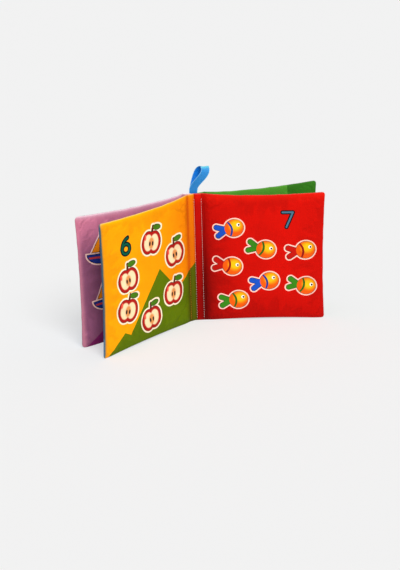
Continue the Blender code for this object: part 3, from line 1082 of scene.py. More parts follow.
# How far the painted highlight reaches at the top, the painted shade at the foot, and the pale edge as a
# share
TOP_REACH, LOW_REACH, EDGE_REACH = 3.2 * MM, 7 * MM, 0.09


def loop_middle(turns):
    """The ribbon's middle line and its twist, as a drop standing on its point.

    The turn runs from minus pi at the near strand's foot, through 0 at the top, to pi at the
    far strand's foot. Height is half the loop's height times one plus the cosine, and depth is
    the sine times the squared cosine of half the turn, as a share of its greatest value. The
    near strand leans right by a smooth step of its rise, and the far one by its rise to the
    power 1.5, then quickly, by its 14th power, just under the top.
    """
    sizes = settings().ribbon
    foot = next(joint for joint in frame["joints"] if joint["name"] == "loop_flop")["pos_m"]
    top = float(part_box("hanging_loop")[1][2]) - sizes.thickness / 2 + sizes.top_rise
    offset = (sizes.thickness + sizes.strand_gap) / 2
    rise = (1 + np.cos(turns)) / 2
    drop = np.sin(turns) * np.cos(turns / 2) ** 2
    full_drop = math.sin(math.pi / 3) * math.cos(math.pi / 6) ** 2
    depth = sizes.half_depth * drop / full_drop + offset * np.sin(turns / 2)
    twist = sizes.twist * (1 + rise) / 2
    near_side = sizes.lean * smooth_step(rise, LEAN_START, LEAN_SPAN)
    far_side = sizes.far_lean * rise**FAR_POWER + (sizes.lean - sizes.far_lean) * rise**TOP_POWER
    side = foot[0] + np.where(turns < 0, near_side, far_side)
    level = foot[2] + (top - foot[2]) * rise
    places = np.stack((side - depth * np.sin(twist), foot[1] + depth * np.cos(twist), level), axis=-1)
    return places, twist


class CLOTHBOOK_OT_ribbon_loop(bpy.types.Operator):
    """Fold the ribbon loop and gather its tail into the spine seam"""

    bl_idname = "clothbook.ribbon_loop"
    bl_label = "Ribbon Loop"

    def execute(self, context):
        sizes = settings().ribbon
        path, twist = loop_middle(np.linspace(-math.pi, math.pi, LOOP_STEPS))
        drops = np.linspace(sizes.tail_drop, 0, TAIL_STEPS, endpoint=False)[:, None] * np.array((0, 0, -1.0))
        path = np.concatenate((path[0] + drops, path, (path[-1] + drops)[::-1]))
        twist = np.pad(twist, TAIL_STEPS, mode="edge")
        shares = np.linspace(0, 1, RIBBON_LENGTHS)
        places, ahead, length = even_walk(path, shares)
        run = shares * length
        turn = np.interp(run, path_runs(path), twist)
        wide = np.stack((np.cos(turn), np.sin(turn), np.zeros_like(turn)), axis=-1)
        wide -= (wide * ahead).sum(1)[:, None] * ahead
        wide /= np.linalg.norm(wide, axis=1)[:, None]
        out = np.cross(ahead, wide)
        to_end = np.minimum(run, length - run)
        to_foot = to_end - sizes.tail_drop
        opened = smooth_step(to_foot, OPEN_START, OPEN_RUN)
        half_width = sizes.tail_width / 2 + (sizes.width - sizes.tail_width) / 2 * opened
        across = np.sin(np.linspace(-math.pi / 2, math.pi / 2, RIBBON_WIDTHS))
        woven = np.clip((1 - across**2) / SELVEDGE, 0, 1) ** 0.5
        ribs = sizes.rib_height * np.cos(2 * math.pi * run / sizes.rib_pitch)[:, None] * woven[None, :]
        thick = sizes.thickness / 2 * (SELVEDGE_THINNESS + (1 - SELVEDGE_THINNESS) * woven)[None, :] + ribs
        half = thick * np.maximum(roll_up(to_end, END_RUN, ROUND_ROLL), END_SHARE)[:, None]
        cup = CUP * (1 - across**2)[None, :] * opened[:, None]
        side = across[None, :] * half_width[:, None]
        base = places[:, None, :] + side[..., None] * wide[:, None, :]
        front = base + (cup + half)[..., None] * out[:, None, :]
        back = base + (cup - half)[..., None] * out[:, None, :]
        uv = np.stack((side, np.broadcast_to(run[:, None], side.shape)), axis=-1) / MM
        # Masks for the painted highlight at the top, the painted shade at the foot and on the inner face, and
        # the pale edge
        shades = {
            "top": bell(run - length / 2, TOP_REACH)[:, None],
            "low": np.exp(-np.maximum(to_foot, 0) / LOW_REACH)[:, None],
            "edge": bell(1 - np.abs(across), EDGE_REACH)[None, :],
        }
        shades = {key: np.broadcast_to(value, side.shape) for key, value in shades.items()}
        shades["inside"] = np.stack((np.ones_like(side), np.zeros_like(side))) * opened[:, None]
        piece = closed_pair("ribbon_loop_band", front, back, uv, ribbon_material(), **shades)
        foot = places[np.abs(to_foot).argmin()]
        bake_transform(piece)
        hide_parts("hanging_loop", "loop_tail")
        return {"FINISHED"}


# Shader building

# Half the width of the blur at a printed shape's edge, in millimetres
PRINT_EDGE = 0.12


class Shading:
    """Adds nodes to one tree, so that a pattern can be written as a sum of shapes; s for short.

    A shape is a distance in millimetres: below zero inside it and above zero outside it.
    """

    def __init__(self, tree):
        self.tree = tree

    def node(self, kind, feeds=(), **properties):
        """A new shader node with its properties set and its inputs fed, by name or number."""
        node = self.tree.nodes.new("ShaderNode" + kind)
        for key, value in properties.items():
            setattr(node, key, value)
        for key, value in dict(feeds).items():
            self.feed(node.inputs[key], value)
        return node

    def feed(self, socket, value):
        """Link a socket to another, or set its own value."""
        if isinstance(value, bpy.types.NodeSocket):
            self.tree.links.new(value, socket)
        elif socket.type == "RGBA" and len(value) == 3:
            socket.default_value = (*value, 1.0)
        else:
            socket.default_value = value

    def calc(self, operation, *values):
        """One step of arithmetic."""
        return self.node("Math", enumerate(values), operation=operation).outputs[0]

    def vector(self, operation, *values):
        """One step of arithmetic on vectors; lengths and dot products come out as numbers."""
        node = self.node("VectorMath", enumerate(values), operation=operation)
        return node.outputs[1 if operation in ("LENGTH", "DISTANCE", "DOT_PRODUCT") else 0]

    def scaled(self, vector, factor):
        """A vector times a number."""
        feeds = {0: vector, "Scale": factor}
        return self.node("VectorMath", feeds, operation="SCALE").outputs[0]

    def parts(self, vector):
        """The three numbers of a vector."""
        return self.node("SeparateXYZ", {0: vector}).outputs

    def toned(self, colour, tone):
        """A colour times a number."""
        grey = self.node("CombineXYZ", {0: tone, 1: tone, 2: tone}).outputs[0]
        return self.vector("MULTIPLY", colour, grey)

    def noise(self, place, scale, detail, distortion=0.0):
        """A cloudy field from 0 to 1."""
        feeds = {"Vector": place, "Scale": scale, "Detail": detail, "Distortion": distortion}
        return self.node("TexNoise", feeds).outputs[0]

    def bump(self, height, strength, distance, **under):
        """The normals of a surface that stands out by a height, over its own or other normals."""
        feeds = {"Height": height, "Strength": strength, "Distance": distance, **under}
        return self.node("Bump", feeds).outputs[0]

    def attribute(self, name):
        """A value that the piece keeps at each of its points."""
        return self.node("Attribute", attribute_name=name).outputs["Fac"]

    def cloth_place(self):
        """The place on the piece's own UV map."""
        return self.node("UVMap", uv_map="Cloth").outputs[0]

    def solid_place(self):
        """The place in the piece, in metres."""
        return self.node("TexCoord").outputs["Object"]

    def ramp(self, value, low, high, out_low=0.0, out_high=1.0):
        """A smooth step between two values, which may fall as well as rise."""
        feeds = {"Value": value, 1: low, 2: high, 3: out_low, 4: out_high}
        return self.node("MapRange", feeds, interpolation_type="SMOOTHSTEP").outputs[0]

    def mix(self, share, under, over):
        """One colour over another."""
        return self.node("Mix", {0: share, 6: under, 7: over}, data_type="RGBA").outputs[2]

    def choose(self, share, under, over):
        """One vector or the other."""
        return self.node("Mix", {0: share, 4: under, 5: over}, data_type="VECTOR").outputs[1]

    def paint(self, under, shape, colour, edge=PRINT_EDGE):
        """A colour laid over the ground inside a shape, with a slightly soft edge."""
        return self.mix(self.ramp(shape, edge, -edge), under, colour)

    def layered(self, under, *layers):
        """Shapes painted one over another: each is a shape, its colour and perhaps its edge."""
        for layer in layers:
            under = self.paint(under, *layer)
        return under

    def outlined(self, under, shape, halo, halo_ink, line=0.5):
        """A halo and a dark outline of given widths round a shape."""
        return self.layered(under, (self.grown(shape, halo), halo_ink), (self.grown(shape, line), INK_DARK))

    def by_kind(self, kind, *tints):
        """The first tint for kind 0, the second for kind 1, and so on."""
        chosen = tints[0]
        for number, tint in enumerate(tints[1:]):
            chosen = self.mix(self.calc("GREATER_THAN", kind, number + 0.5), chosen, tint)
        return chosen

    def oval(self, place, centre, half_width, half_height):
        """The distance to an oval: q times (q less 1) over r.

        Here q is the length of the place over the oval's halves, and r its length over their squares.
        """
        moved = self.vector("SUBTRACT", place, (*centre, 0))
        once = self.vector("LENGTH", self.vector("DIVIDE", moved, (half_width, half_height, 1)))
        twice = self.vector("LENGTH", self.vector("DIVIDE", moved, (half_width**2, half_height**2, 1)))
        return self.calc("DIVIDE", self.calc("MULTIPLY", once, self.calc("SUBTRACT", once, 1.0)), twice)

    def stroke(self, place, start, end, half_width):
        """The distance to a straight pen stroke with round ends."""
        run = (end[0] - start[0], end[1] - start[1])
        square = run[0] ** 2 + run[1] ** 2
        moved = self.vector("SUBTRACT", place, (*start, 0))
        share = self.vector("DOT_PRODUCT", moved, (run[0] / square, run[1] / square, 0))
        share = self.node("Clamp", {0: share}).outputs[0]
        nearest = self.scaled((*run, 0), share)
        return self.calc("SUBTRACT", self.vector("DISTANCE", moved, nearest), half_width)

    def ring(self, place, centre, radius, half_width):
        """The distance to a ring drawn with a pen."""
        away = self.vector("LENGTH", self.vector("SUBTRACT", place, (*centre, 0)))
        from_line = self.calc("ABSOLUTE", self.calc("SUBTRACT", away, radius))
        return self.calc("SUBTRACT", from_line, half_width)

    def edge(self, place, point, heading):
        """The distance past a straight edge through a point, on the side that a heading points to."""
        moved = self.vector("SUBTRACT", place, (*point, 0))
        way = (math.cos(math.radians(heading)), math.sin(math.radians(heading)), 0)
        return self.vector("DOT_PRODUCT", moved, way)

    def either(self, *shapes):
        """The shapes put together."""
        total = shapes[0]
        for shape in shapes[1:]:
            total = self.calc("MINIMUM", total, shape)
        return total

    def both(self, *shapes):
        """What the shapes have in common."""
        total = shapes[0]
        for shape in shapes[1:]:
            total = self.calc("MAXIMUM", total, shape)
        return total

    def grown(self, shape, distance):
        """A shape made larger all round, or smaller."""
        return self.calc("SUBTRACT", shape, distance)

    def group(self, tree, feeds):
        """A node group placed in this tree with its own values: what it puts out."""
        return self.node("Group", feeds, node_tree=tree).outputs


def shader_group(name, inputs, outputs, build):
    """A node group with named inputs and outputs, built once: build takes the shading and the inputs."""
    tree = bpy.data.node_groups.get(name)
    if tree is not None:
        return tree
    tree = bpy.data.node_groups.new(name, "ShaderNodeTree")
    for socket, kind in inputs.items():
        tree.interface.new_socket(name=socket, in_out="INPUT", socket_type=kind)
    for socket, kind in outputs.items():
        tree.interface.new_socket(name=socket, in_out="OUTPUT", socket_type=kind)
    shading = Shading(tree)
    entry = tree.nodes.new("NodeGroupInput")
    leave = tree.nodes.new("NodeGroupOutput")
    results = build(shading, entry.outputs)
    for socket, value in results.items():
        shading.feed(leave.inputs[socket], value)
    return tree


COLOUR, NUMBER, VECTOR = "NodeSocketColor", "NodeSocketFloat", "NodeSocketVector"
PRINT_INPUTS = {"Ground": COLOUR, "Place": VECTOR, "Kind": NUMBER}


def paint_apple(s, inputs):
    """Half an apple: a dark red skin round cream flesh, with a core, two pips, a stalk and a leaf.

    It is drawn in millimetres about its own middle, as all the motifs are.
    """
    place = inputs["Place"]
    body = s.either(s.oval(place, (-4.2, -2), 8.6, 11), s.oval(place, (4.2, -2), 8.6, 11))
    stalk = s.stroke(place, (0, 7), (1.2, 14), 0.9)
    leaf = s.oval(place, (6.4, 12.6), 5.2, 2.5)
    layers = (
        (stalk, INK_BROWN),
        (leaf, LEAF_INK),
        (body, APPLE_RED),
        (s.grown(body, -3.0), APPLE_FLESH, 0.8),
        (s.oval(place, (0, -2.5), 3.6, 5.4), APPLE_CORE, 1.2),
        (s.oval(place, (-2.0, -3), 1.1, 2.3), INK_DARK),
        (s.oval(place, (2.0, -3), 1.1, 2.3), INK_DARK),
        (s.oval(place, (-8.6, 3.4), 1.2, 2.8), APPLE_GLOSS, 0.7),
    )
    colour = s.outlined(inputs["Ground"], s.either(body, stalk, leaf), 2.1, CREAM)
    return {"Colour": s.layered(colour, *layers)}


def paint_fish(s, inputs):
    """A round orange fish with a dark stripe, whose tail is red, blue or green by its kind."""
    place = inputs["Place"]
    body = s.oval(place, (6, 0), 10.6, 9.8)
    tail = s.either(
        s.stroke(place, (-3, 0), (-13, 5), 2.9),
        s.stroke(place, (-3, 0), (-13, -5), 2.9),
    )
    tint = s.by_kind(inputs["Kind"], TAIL_RED, TAIL_BLUE, TAIL_GREEN)
    across = s.parts(place)
    bent = s.calc("MULTIPLY", s.calc("MULTIPLY", across[1], across[1]), 0.045)
    line = s.calc("SUBTRACT", s.calc("ADD", across[0], bent), 3.4)
    stripe = s.both(s.grown(s.calc("ABSOLUTE", line), 1.2), s.grown(body, -0.2))
    layers = (
        (tail, tint),
        (body, FISH_ORANGE),
        (s.oval(place, (8.4, 2.4), 6.4, 5.6), SUN_YELLOW, 3.4),
        (stripe, s.mix(0.45, tint, INK_DARK)),
        (s.oval(place, (11.4, 2.6), 1.9, 1.9), WHITE_INK),
        (s.oval(place, (11.9, 2.4), 1.1, 1.1), INK_DARK),
    )
    colour = s.outlined(inputs["Ground"], s.either(body, tail), 1.9, PALE_PINK)
    return {"Colour": s.layered(colour, *layers)}


def paint_boat(s, inputs):
    """A sailing boat: a navy hull with a stripe, a mast, a red sail and an orange one."""
    place = inputs["Place"]
    hull = s.both(s.oval(place, (0, -5), 15.5, 10.5), s.edge(place, (0, -6), 90))
    mast = s.stroke(place, (0, -6), (0, 17), 0.8)
    foot = s.edge(place, (0, -3.5), -90)
    large = s.both(s.edge(place, (1.6, 0), 180), foot, s.edge(place, (13.5, -3.5), 32))
    small = s.both(s.edge(place, (-1.6, 0), 0), foot, s.edge(place, (-10, -3.5), 152))
    band = s.both(s.grown(hull, -0.8), s.stroke(place, (-20, -9.4), (20, -9.4), 1.0))
    layers = ((mast, INK_BROWN), (large, SAIL_RED), (small, ORANGE), (hull, NAVY), (band, HULL_STRIPE))
    colour = s.outlined(inputs["Ground"], s.either(hull, mast, large, small), 2.0, PALE_PINK, 0.6)
    return {"Colour": s.layered(colour, *layers)}


def paint_flower(s, inputs):
    """A flower with five round petals, a yellow eye, a stalk and a leaf; its kind picks its petals."""
    place = inputs["Place"]
    turns = [math.pi / 2 + k * 2 * math.pi / 5 for k in range(5)]
    centres = [(5.2 * math.cos(turn), 5 + 5.2 * math.sin(turn)) for turn in turns]
    petals = s.either(*[s.oval(place, centre, 3.7, 3.7) for centre in centres])
    green = s.either(s.stroke(place, (0, 3), (0.8, -14), 0.9), s.oval(place, (4.4, -9.5), 4.2, 1.9))
    tint = s.by_kind(inputs["Kind"], PETAL_RED, PETAL_VIOLET, ORANGE)
    layers = ((green, STALK_INK), (petals, tint), (s.oval(place, (0, 5), 2.9, 2.9), SUN_YELLOW))
    colour = s.outlined(inputs["Ground"], s.either(petals, green), 1.7, CREAM, 0.45)
    return {"Colour": s.layered(colour, *layers)}


def paint_ball(s, inputs):
    """A beach ball with a curved band, which changes with its kind."""
    place = inputs["Place"]
    body = s.oval(place, (0, 0), 11, 11)
    skin = s.grown(body, -0.1)
    band = s.both(skin, s.oval(place, (0, 0), 4.6, 13))
    layers = (
        (body, SUN_YELLOW),
        (s.both(skin, s.edge(place, (0, -4), 90)), ORANGE),
        (s.grown(band, 0.5), INK_DARK),
        (band, s.by_kind(inputs["Kind"], BALL_RED, TAIL_BLUE, TAIL_GREEN)),
        (s.oval(place, (0, 9.4), 2.2, 1.2), WHITE_INK),
    )
    colour = s.outlined(inputs["Ground"], body, 2.0, CREAM)
    return {"Colour": s.layered(colour, *layers)}


MOTIFS = {
    "apple": paint_apple,
    "fish": paint_fish,
    "boat": paint_boat,
    "flower": paint_flower,
    "ball": paint_ball,
}


def arc(centre, radius, start, end, steps=5):
    """Points along a round stroke, between two headings in degrees."""
    angles = [math.radians(start + (end - start) * k / steps) for k in range(steps + 1)]
    return [(centre[0] + radius * math.cos(a), centre[1] + radius * math.sin(a)) for a in angles]


# Each numeral's strokes in millimetres about its middle, and its rings as a centre and a radius
NUMERALS = {
    1: ([[(-3.5, 6.2), (0.6, 9.6), (0.6, -9.6)]], []),
    2: ([arc((0, 4.4), 5.2, 170, -35) + [(-5.4, -9.6), (5.6, -9.6)]], []),
    3: ([arc((0, 4.9), 4.7, 160, -80), arc((0, -4.6), 5.1, 80, -160)], []),
    4: ([[(2.6, -9.6), (2.6, 9.6), (-6.0, -3.6), (6.4, -3.6)]], []),
    5: ([[(5.0, 9.6), (-4.2, 9.6), (-4.8, 1.6)] + arc((-0.4, -3.6), 5.9, 115, -145, 6)], []),
    6: ([arc((5.4, -3.8), 11.2, 104, 180, 6)], [((-0.2, -4.2), 5.2)]),
    7: ([[(-6.2, 9.0), (6.2, 9.0), (-1.6, -9.4)]], []),
    8: ([], [((0, 5.0), 4.3), ((0, -4.7), 5.0)]),
    9: ([arc((-5.4, 3.8), 11.2, 0, -76, 6)], [((0.2, 4.2), 5.2)]),
}
# Half a pen's width, and how far a numeral's outline stands out from it
PEN_HALF = 1.15
PEN_OUTLINE = 1.45


def numeral_group(number):
    """A node group that lays one outlined numeral over its ground."""

    def build(s, inputs):
        strokes, rings = NUMERALS[number]
        place = inputs["Place"]
        shapes = [s.stroke(place, a, b, PEN_HALF) for line in strokes for a, b in zip(line, line[1:])]
        shapes += [s.ring(place, centre, radius, PEN_HALF) for centre, radius in rings]
        shape = s.either(*shapes)
        colour = s.paint(inputs["Ground"], s.grown(shape, PEN_OUTLINE), inputs["Outline"])
        return {"Colour": s.paint(colour, shape, inputs["Fill"])}

    inputs = {"Ground": COLOUR, "Place": VECTOR, "Fill": COLOUR, "Outline": COLOUR}
    return shader_group("numeral " + str(number), inputs, {"Colour": COLOUR}, build)


def nearest_motif(s, page, places):
    """The place seen from the nearest of some motifs, turned with it, and that motif's kind."""
    away = s.vector("DISTANCE", page, (*places[0][:2], 0))
    best, kind = (*places[0][:2], math.radians(places[0][2])), float(places[0][3])
    for x, y, tilt, number in places[1:]:
        here = s.vector("DISTANCE", page, (x, y, 0))
        nearer = s.calc("LESS_THAN", here, away)
        best = s.choose(nearer, best, (x, y, math.radians(tilt)))
        kind = s.calc("MULTIPLY_ADD", nearer, s.calc("SUBTRACT", float(number), kind), kind)
        away = s.calc("MINIMUM", away, here)
    centre_x, centre_y, tilt = s.parts(best)
    centre = s.node("CombineXYZ", {0: centre_x, 1: centre_y}).outputs[0]
    moved = s.vector("SUBTRACT", page, centre)
    feeds = {"Vector": moved, "Angle": s.calc("MULTIPLY", tilt, -1.0)}
    turned = s.node("VectorRotate", feeds, rotation_type="Z_AXIS").outputs[0]
    return turned, kind


def hill(s, page, peak, left_slope, right_slope):
    """Everything under two slopes that meet at a peak; a slope is its angle in degrees."""
    return s.both(s.edge(page, peak, 90 + left_slope), s.edge(page, peak, 90 - right_slope))


def yellow_ground(s, page, ground):
    """Yellow with painted shade that turns it orange towards the spine, and three printed straight-sided
    hills that rise towards it.
    """
    spine_shade_orange = srgb(232, 104, 0)
    # Painted shade that turns the yellow orange towards the spine
    ground = s.mix(s.ramp(s.parts(page)[0], 48.0, 217.0, 0.0, 0.9), ground, spine_shade_orange)
    hills = s.either(
        hill(s, page, (30, 22), 38, 28),
        hill(s, page, (92, 84), 52, 47),
        hill(s, page, (158, 78), 40, 40),
    )
    return s.paint(ground, hills, tuple(settings().colour.hill), 0.25)


def green_ground(s, page, ground):
    """A darker square at the fore edge, and a paler one low by the spine."""
    square = s.both(s.edge(page, (106, 0), 180), s.edge(page, (0, 66), -90))
    low = s.both(s.edge(page, (58, 0), 0), s.edge(page, (0, 52), 90))
    return s.layered(ground, (square, srgb(48, 112, 24), 0.3), (low, srgb(120, 185, 70), 0.3))


def back_cover_ground(s, page, ground):
    """Paler patches on the dark green, like fields."""
    fields = s.either(
        s.both(s.edge(page, (52, 0), 0), s.edge(page, (0, 96), -90)),
        s.both(s.edge(page, (88, 0), 180), s.edge(page, (0, 60), 90)),
    )
    return s.paint(ground, fields, srgb(76, 150, 52), 0.3)


def blue_ground(s, page, ground):
    """A band of paler water along the foot of the page."""
    return s.paint(ground, hill(s, page, (60, 46), 10, 14), srgb(104, 156, 226), 0.3)


def front_cover_ground(s, page, ground):
    """A white sky over the blue, with a wavy edge between them."""
    run, rise = s.parts(page)[:2]
    wave = s.calc("MULTIPLY", s.calc("SINE", s.calc("MULTIPLY", run, 2 * math.pi / 52)), 5.5)
    sky = s.calc("SUBTRACT", s.calc("ADD", wave, 104.0), rise)
    return s.paint(ground, sky, WHITE_INK, 0.25)


def red_ground(s, page, ground):
    """Painted shade that darkens the red towards the spine, most low down, more painted shade along the foot,
    and a painted highlight along the head.
    """
    spine_shade_red, foot_shade_red, red_head_highlight = srgb(70, 0, 0), srgb(140, 0, 0), srgb(240, 26, 4)
    run, rise = s.parts(page)[:2]
    away = s.calc("ABSOLUTE", run)
    near = s.calc("EXPONENT", s.calc("DIVIDE", away, -8.0))
    broad = s.calc("EXPONENT", s.calc("DIVIDE", away, -34.0))
    share = s.calc("MULTIPLY_ADD", near, 0.35, s.calc("MULTIPLY", broad, 0.65))
    share = s.calc("MULTIPLY", share, s.ramp(rise, 165.0, 20.0, 0.25, 0.88))
    # Painted shade towards the spine and along the foot, then a painted highlight along the head
    colour = s.mix(share, ground, spine_shade_red)
    colour = s.mix(s.ramp(rise, 55.0, 0.0, 0.0, 0.35), colour, foot_shade_red)
    return s.mix(s.ramp(rise, 146.0, 160.0, 0.0, 0.55), colour, red_head_highlight)


def pink_ground(s, page, ground):
    """Painted shade that darkens the page downward to mauve, a little less in a narrow margin along the spine
    and the foot, and one printed plum hill by the spine.
    """
    margin_shade_pink, field_shade_mauve, plum = srgb(190, 118, 139), srgb(148, 86, 116), srgb(132, 34, 96)
    run, rise = s.parts(page)[:2]
    # Painted shade: darker downward, a little less in a narrow margin along the spine and the foot
    margin = s.mix(s.ramp(rise, 150.0, 90.0), ground, margin_shade_pink)
    field = s.mix(s.ramp(rise, 158.0, 104.0), ground, field_shade_mauve)
    inside = s.calc("MULTIPLY", s.ramp(run, 1.2, 7.2), s.ramp(rise, -1.0, 2.0))
    return s.paint(s.mix(inside, margin, field), hill(s, page, (54, 36), 36, 30), plum, 0.3)


def teal_ground(s, page, ground):
    """A band of deeper water along the foot of the page."""
    return s.paint(ground, hill(s, page, (84, 40), 12, 8), srgb(78, 146, 128), 0.3)


# What each page carries: its ground, its motif, where the motifs stand, how large they are, its
# numerals and their inks, fill first. A motif's place is its x, its height, its tilt in degrees and
# its kind; a numeral's is its number, x, height and size.
PRINTS = {
    "yellow_page": (
        yellow_ground,
        "apple",
        [
            (80, 122, -8, 0), (119, 98, 9, 0), (115, 50, -6, 0), (75, 29, 7, 0), (37, 50, -10, 0),
            (39, 87, 6, 0),
        ],
        1.22,
        [(6, 38, 127, 1.12)],
        (srgb(0, 88, 66), srgb(0, 18, 24)),
    ),
    "red_page": (
        red_ground,
        "fish",
        [
            (30, 117, 12, 1), (68, 92, -14, 2), (116, 88, 8, 0), (27, 71, -10, 0), (72, 49, 12, 1),
            (117, 44, -12, 2), (34, 26, 6, 2),
        ],
        1.08,
        [(7, 101, 127.5, 1.0)],
        (srgb(72, 112, 134), srgb(12, 10, 16)),
    ),
    "pink_page": (
        pink_ground,
        "boat",
        [(30, 118, -4, 0), (34, 62, 5, 0), (98, 74, -6, 0), (84, 28, 4, 0)],
        1.15,
        [(4, 96, 126, 1.0)],
        (srgb(120, 30, 110), srgb(40, 10, 40)),
    ),
    "blue_page": (
        blue_ground,
        "ball",
        [
            (34, 100, 14, 0), (76, 122, -22, 1), (112, 84, 30, 2), (58, 62, -12, 2),
            (104, 34, 10, 0),
        ],
        1.1,
        [(5, 36, 132, 1.0)],
        (srgb(255, 190, 30), srgb(20, 20, 50)),
    ),
    "teal_page": (
        teal_ground,
        "flower",
        [
            (28, 92, 4, 0), (60, 116, -5, 1), (116, 118, 7, 2), (92, 88, -4, 0), (34, 48, 5, 2),
            (66, 62, -7, 1), (112, 52, 6, 1), (82, 28, -3, 0),
        ],
        1.1,
        [(8, 90, 128, 1.0)],
        (srgb(190, 40, 60), srgb(30, 20, 30)),
    ),
    "green_page": (
        green_ground,
        "apple",
        [
            (26, 128, 5, 0), (64, 132, -7, 0), (124, 128, 8, 0), (34, 84, -6, 0), (72, 92, 6, 0),
            (112, 86, -4, 0), (28, 38, 8, 0), (70, 46, -5, 0), (116, 42, 5, 0),
        ],
        1.0,
        [(9, 94, 130, 1.0)],
        (srgb(250, 210, 60), srgb(20, 40, 14)),
    ),
    "front_cover": (
        front_cover_ground,
        "ball",
        [(34, 66, 20, 0), (76, 40, -16, 1), (114, 72, 12, 2)],
        1.25,
        [(1, 44, 132, 1.1), (2, 72, 134, 1.1), (3, 100, 132, 1.1)],
        (srgb(96, 136, 20), srgb(36, 60, 10)),
    ),
    "back_cover": (
        back_cover_ground,
        "flower",
        [(48, 62, -5, 2), (96, 100, 6, 0)],
        1.3,
        [],
        (srgb(250, 210, 60), srgb(20, 40, 14)),
    ),
}


def print_group(page):
    """A node group that prints one page over its ground colour."""

    def build(s, inputs):
        paint_ground, motif, places, size, numerals, (fill, outline) = PRINTS[page]
        place = inputs["Place"]
        colour = paint_ground(s, place, inputs["Ground"])
        tree = shader_group(motif, PRINT_INPUTS, {"Colour": COLOUR}, MOTIFS[motif])
        near, kind = nearest_motif(s, place, places)
        feeds = {"Ground": colour, "Place": s.scaled(near, 1 / size), "Kind": kind}
        colour = s.group(tree, feeds)["Colour"]
        for number, x, height, scale in numerals:
            moved = s.scaled(s.vector("SUBTRACT", place, (x, height, 0)), 1 / scale)
            feeds = {"Ground": colour, "Place": moved, "Fill": fill, "Outline": outline}
            colour = s.group(numeral_group(number), feeds)["Colour"]
        return {"Colour": colour}

    return shader_group(page + " print", {"Ground": COLOUR, "Place": VECTOR}, {"Colour": COLOUR}, build)


def weave_group():
    """Printed plain weave: crossing yarns, thicker yarns here and there, and ink that takes unevenly."""

    def build(s, inputs):
        place = inputs["Place"]
        across, along = s.parts(place)[:2]
        turn = s.calc("DIVIDE", math.pi, inputs["Yarn"])
        warp = s.calc("SINE", s.calc("MULTIPLY", across, turn))
        weft = s.calc("SINE", s.calc("MULTIPLY", along, turn))
        yarns = s.calc("MULTIPLY", warp, weft)
        slub_warp = s.noise(s.vector("MULTIPLY", place, (2.2, 0.09, 1)), 1.0, 2.0)
        slub_weft = s.noise(s.vector("MULTIPLY", place, (0.09, 2.2, 1)), 1.0, 2.0)
        slubs = s.calc("ADD", slub_warp, slub_weft)
        height = s.calc("MULTIPLY_ADD", yarns, 0.35, s.calc("MULTIPLY", slubs, 0.65))
        cloudy = s.noise(place, 0.035, 3.0)
        grain = s.noise(place, 1.4, 2.0)
        tone = s.calc("ADD", s.ramp(slubs, 0.7, 1.3, 0.95, 1.05), s.ramp(cloudy, 0.3, 0.7, -0.05, 0.05))
        tone = s.calc("ADD", tone, s.ramp(grain, 0.3, 0.7, -0.035, 0.035))
        worn = s.ramp(inputs["Seam distance"], 1.6, 0.1, 0.0, 0.15)
        worn = s.calc("MULTIPLY", worn, s.ramp(grain, 0.3, 0.65))
        faded = s.mix(worn, s.toned(inputs["Colour"], tone), inputs["Bare cloth"])
        return {"Colour": faded, "Height": height}

    inputs = {"Colour": COLOUR, "Bare cloth": COLOUR, "Place": VECTOR}
    inputs.update({"Yarn": NUMBER, "Seam distance": NUMBER})
    return shader_group("printed plain weave", inputs, {"Colour": COLOUR, "Height": NUMBER}, build)


def crumple_group():
    """Fine crumples in cloth over a crinkling film: ridges between the cells of two noises."""

    def build(s, inputs):
        ridges = [
            s.calc("ABSOLUTE", s.calc("SUBTRACT", s.noise(inputs["Place"], *cells), 0.5))
            for cells in ((0.06, 1.5, 0.6), (0.17, 1.0, 0.4))
        ]
        return {"Height": s.calc("MULTIPLY_ADD", ridges[1], 0.4, ridges[0])}

    return shader_group("film crumple", {"Place": VECTOR}, {"Height": NUMBER}, build)


# Painted shade in the folds: what a cloth's colour is multiplied by beside its channels and folds, on the
# yellow, pink and red pages and on the others
WARM_PAGES = ("yellow_page", "pink_page", "red_page")
WARM_FOLD_SHADE = (0.7, 0.42, 0.4)
PLAIN_FOLD_SHADE = (0.6, 0.6, 0.64)
# The painted shade along a rolled seam, and the powers that make a page's head paler as a painted highlight
SEAM_SHADE_OLIVE = srgb(90, 106, 70)
HEAD_HIGHLIGHT_GAMMAS = {"yellow_page": 0.5, "pink_page": 0.3}
PLAIN_HEAD_HIGHLIGHT_GAMMA = 0.92
# The cloth without ink, one yarn's width in it and two in the ribbon, in millimetres, and a thread's
# run from one ply to the next
BARE_CLOTH = srgb(236, 226, 214)
YARN = 0.36
RIBBON_YARN = 0.32
PLY_PITCH = 0.42 * MM


def new_material(name):
    """A new material, the shading that adds to it, and its shader."""
    material = bpy.data.materials.new(name)
    material.use_nodes = True
    return material, Shading(material.node_tree), material.node_tree.nodes["Principled BSDF"]


def set_shader(s, shader, **values):
    """Feed the shader's own sockets, or set them where a value is the same all over the surface."""
    for key, value in values.items():
        s.feed(shader.inputs[key.replace("_", " ")], value)


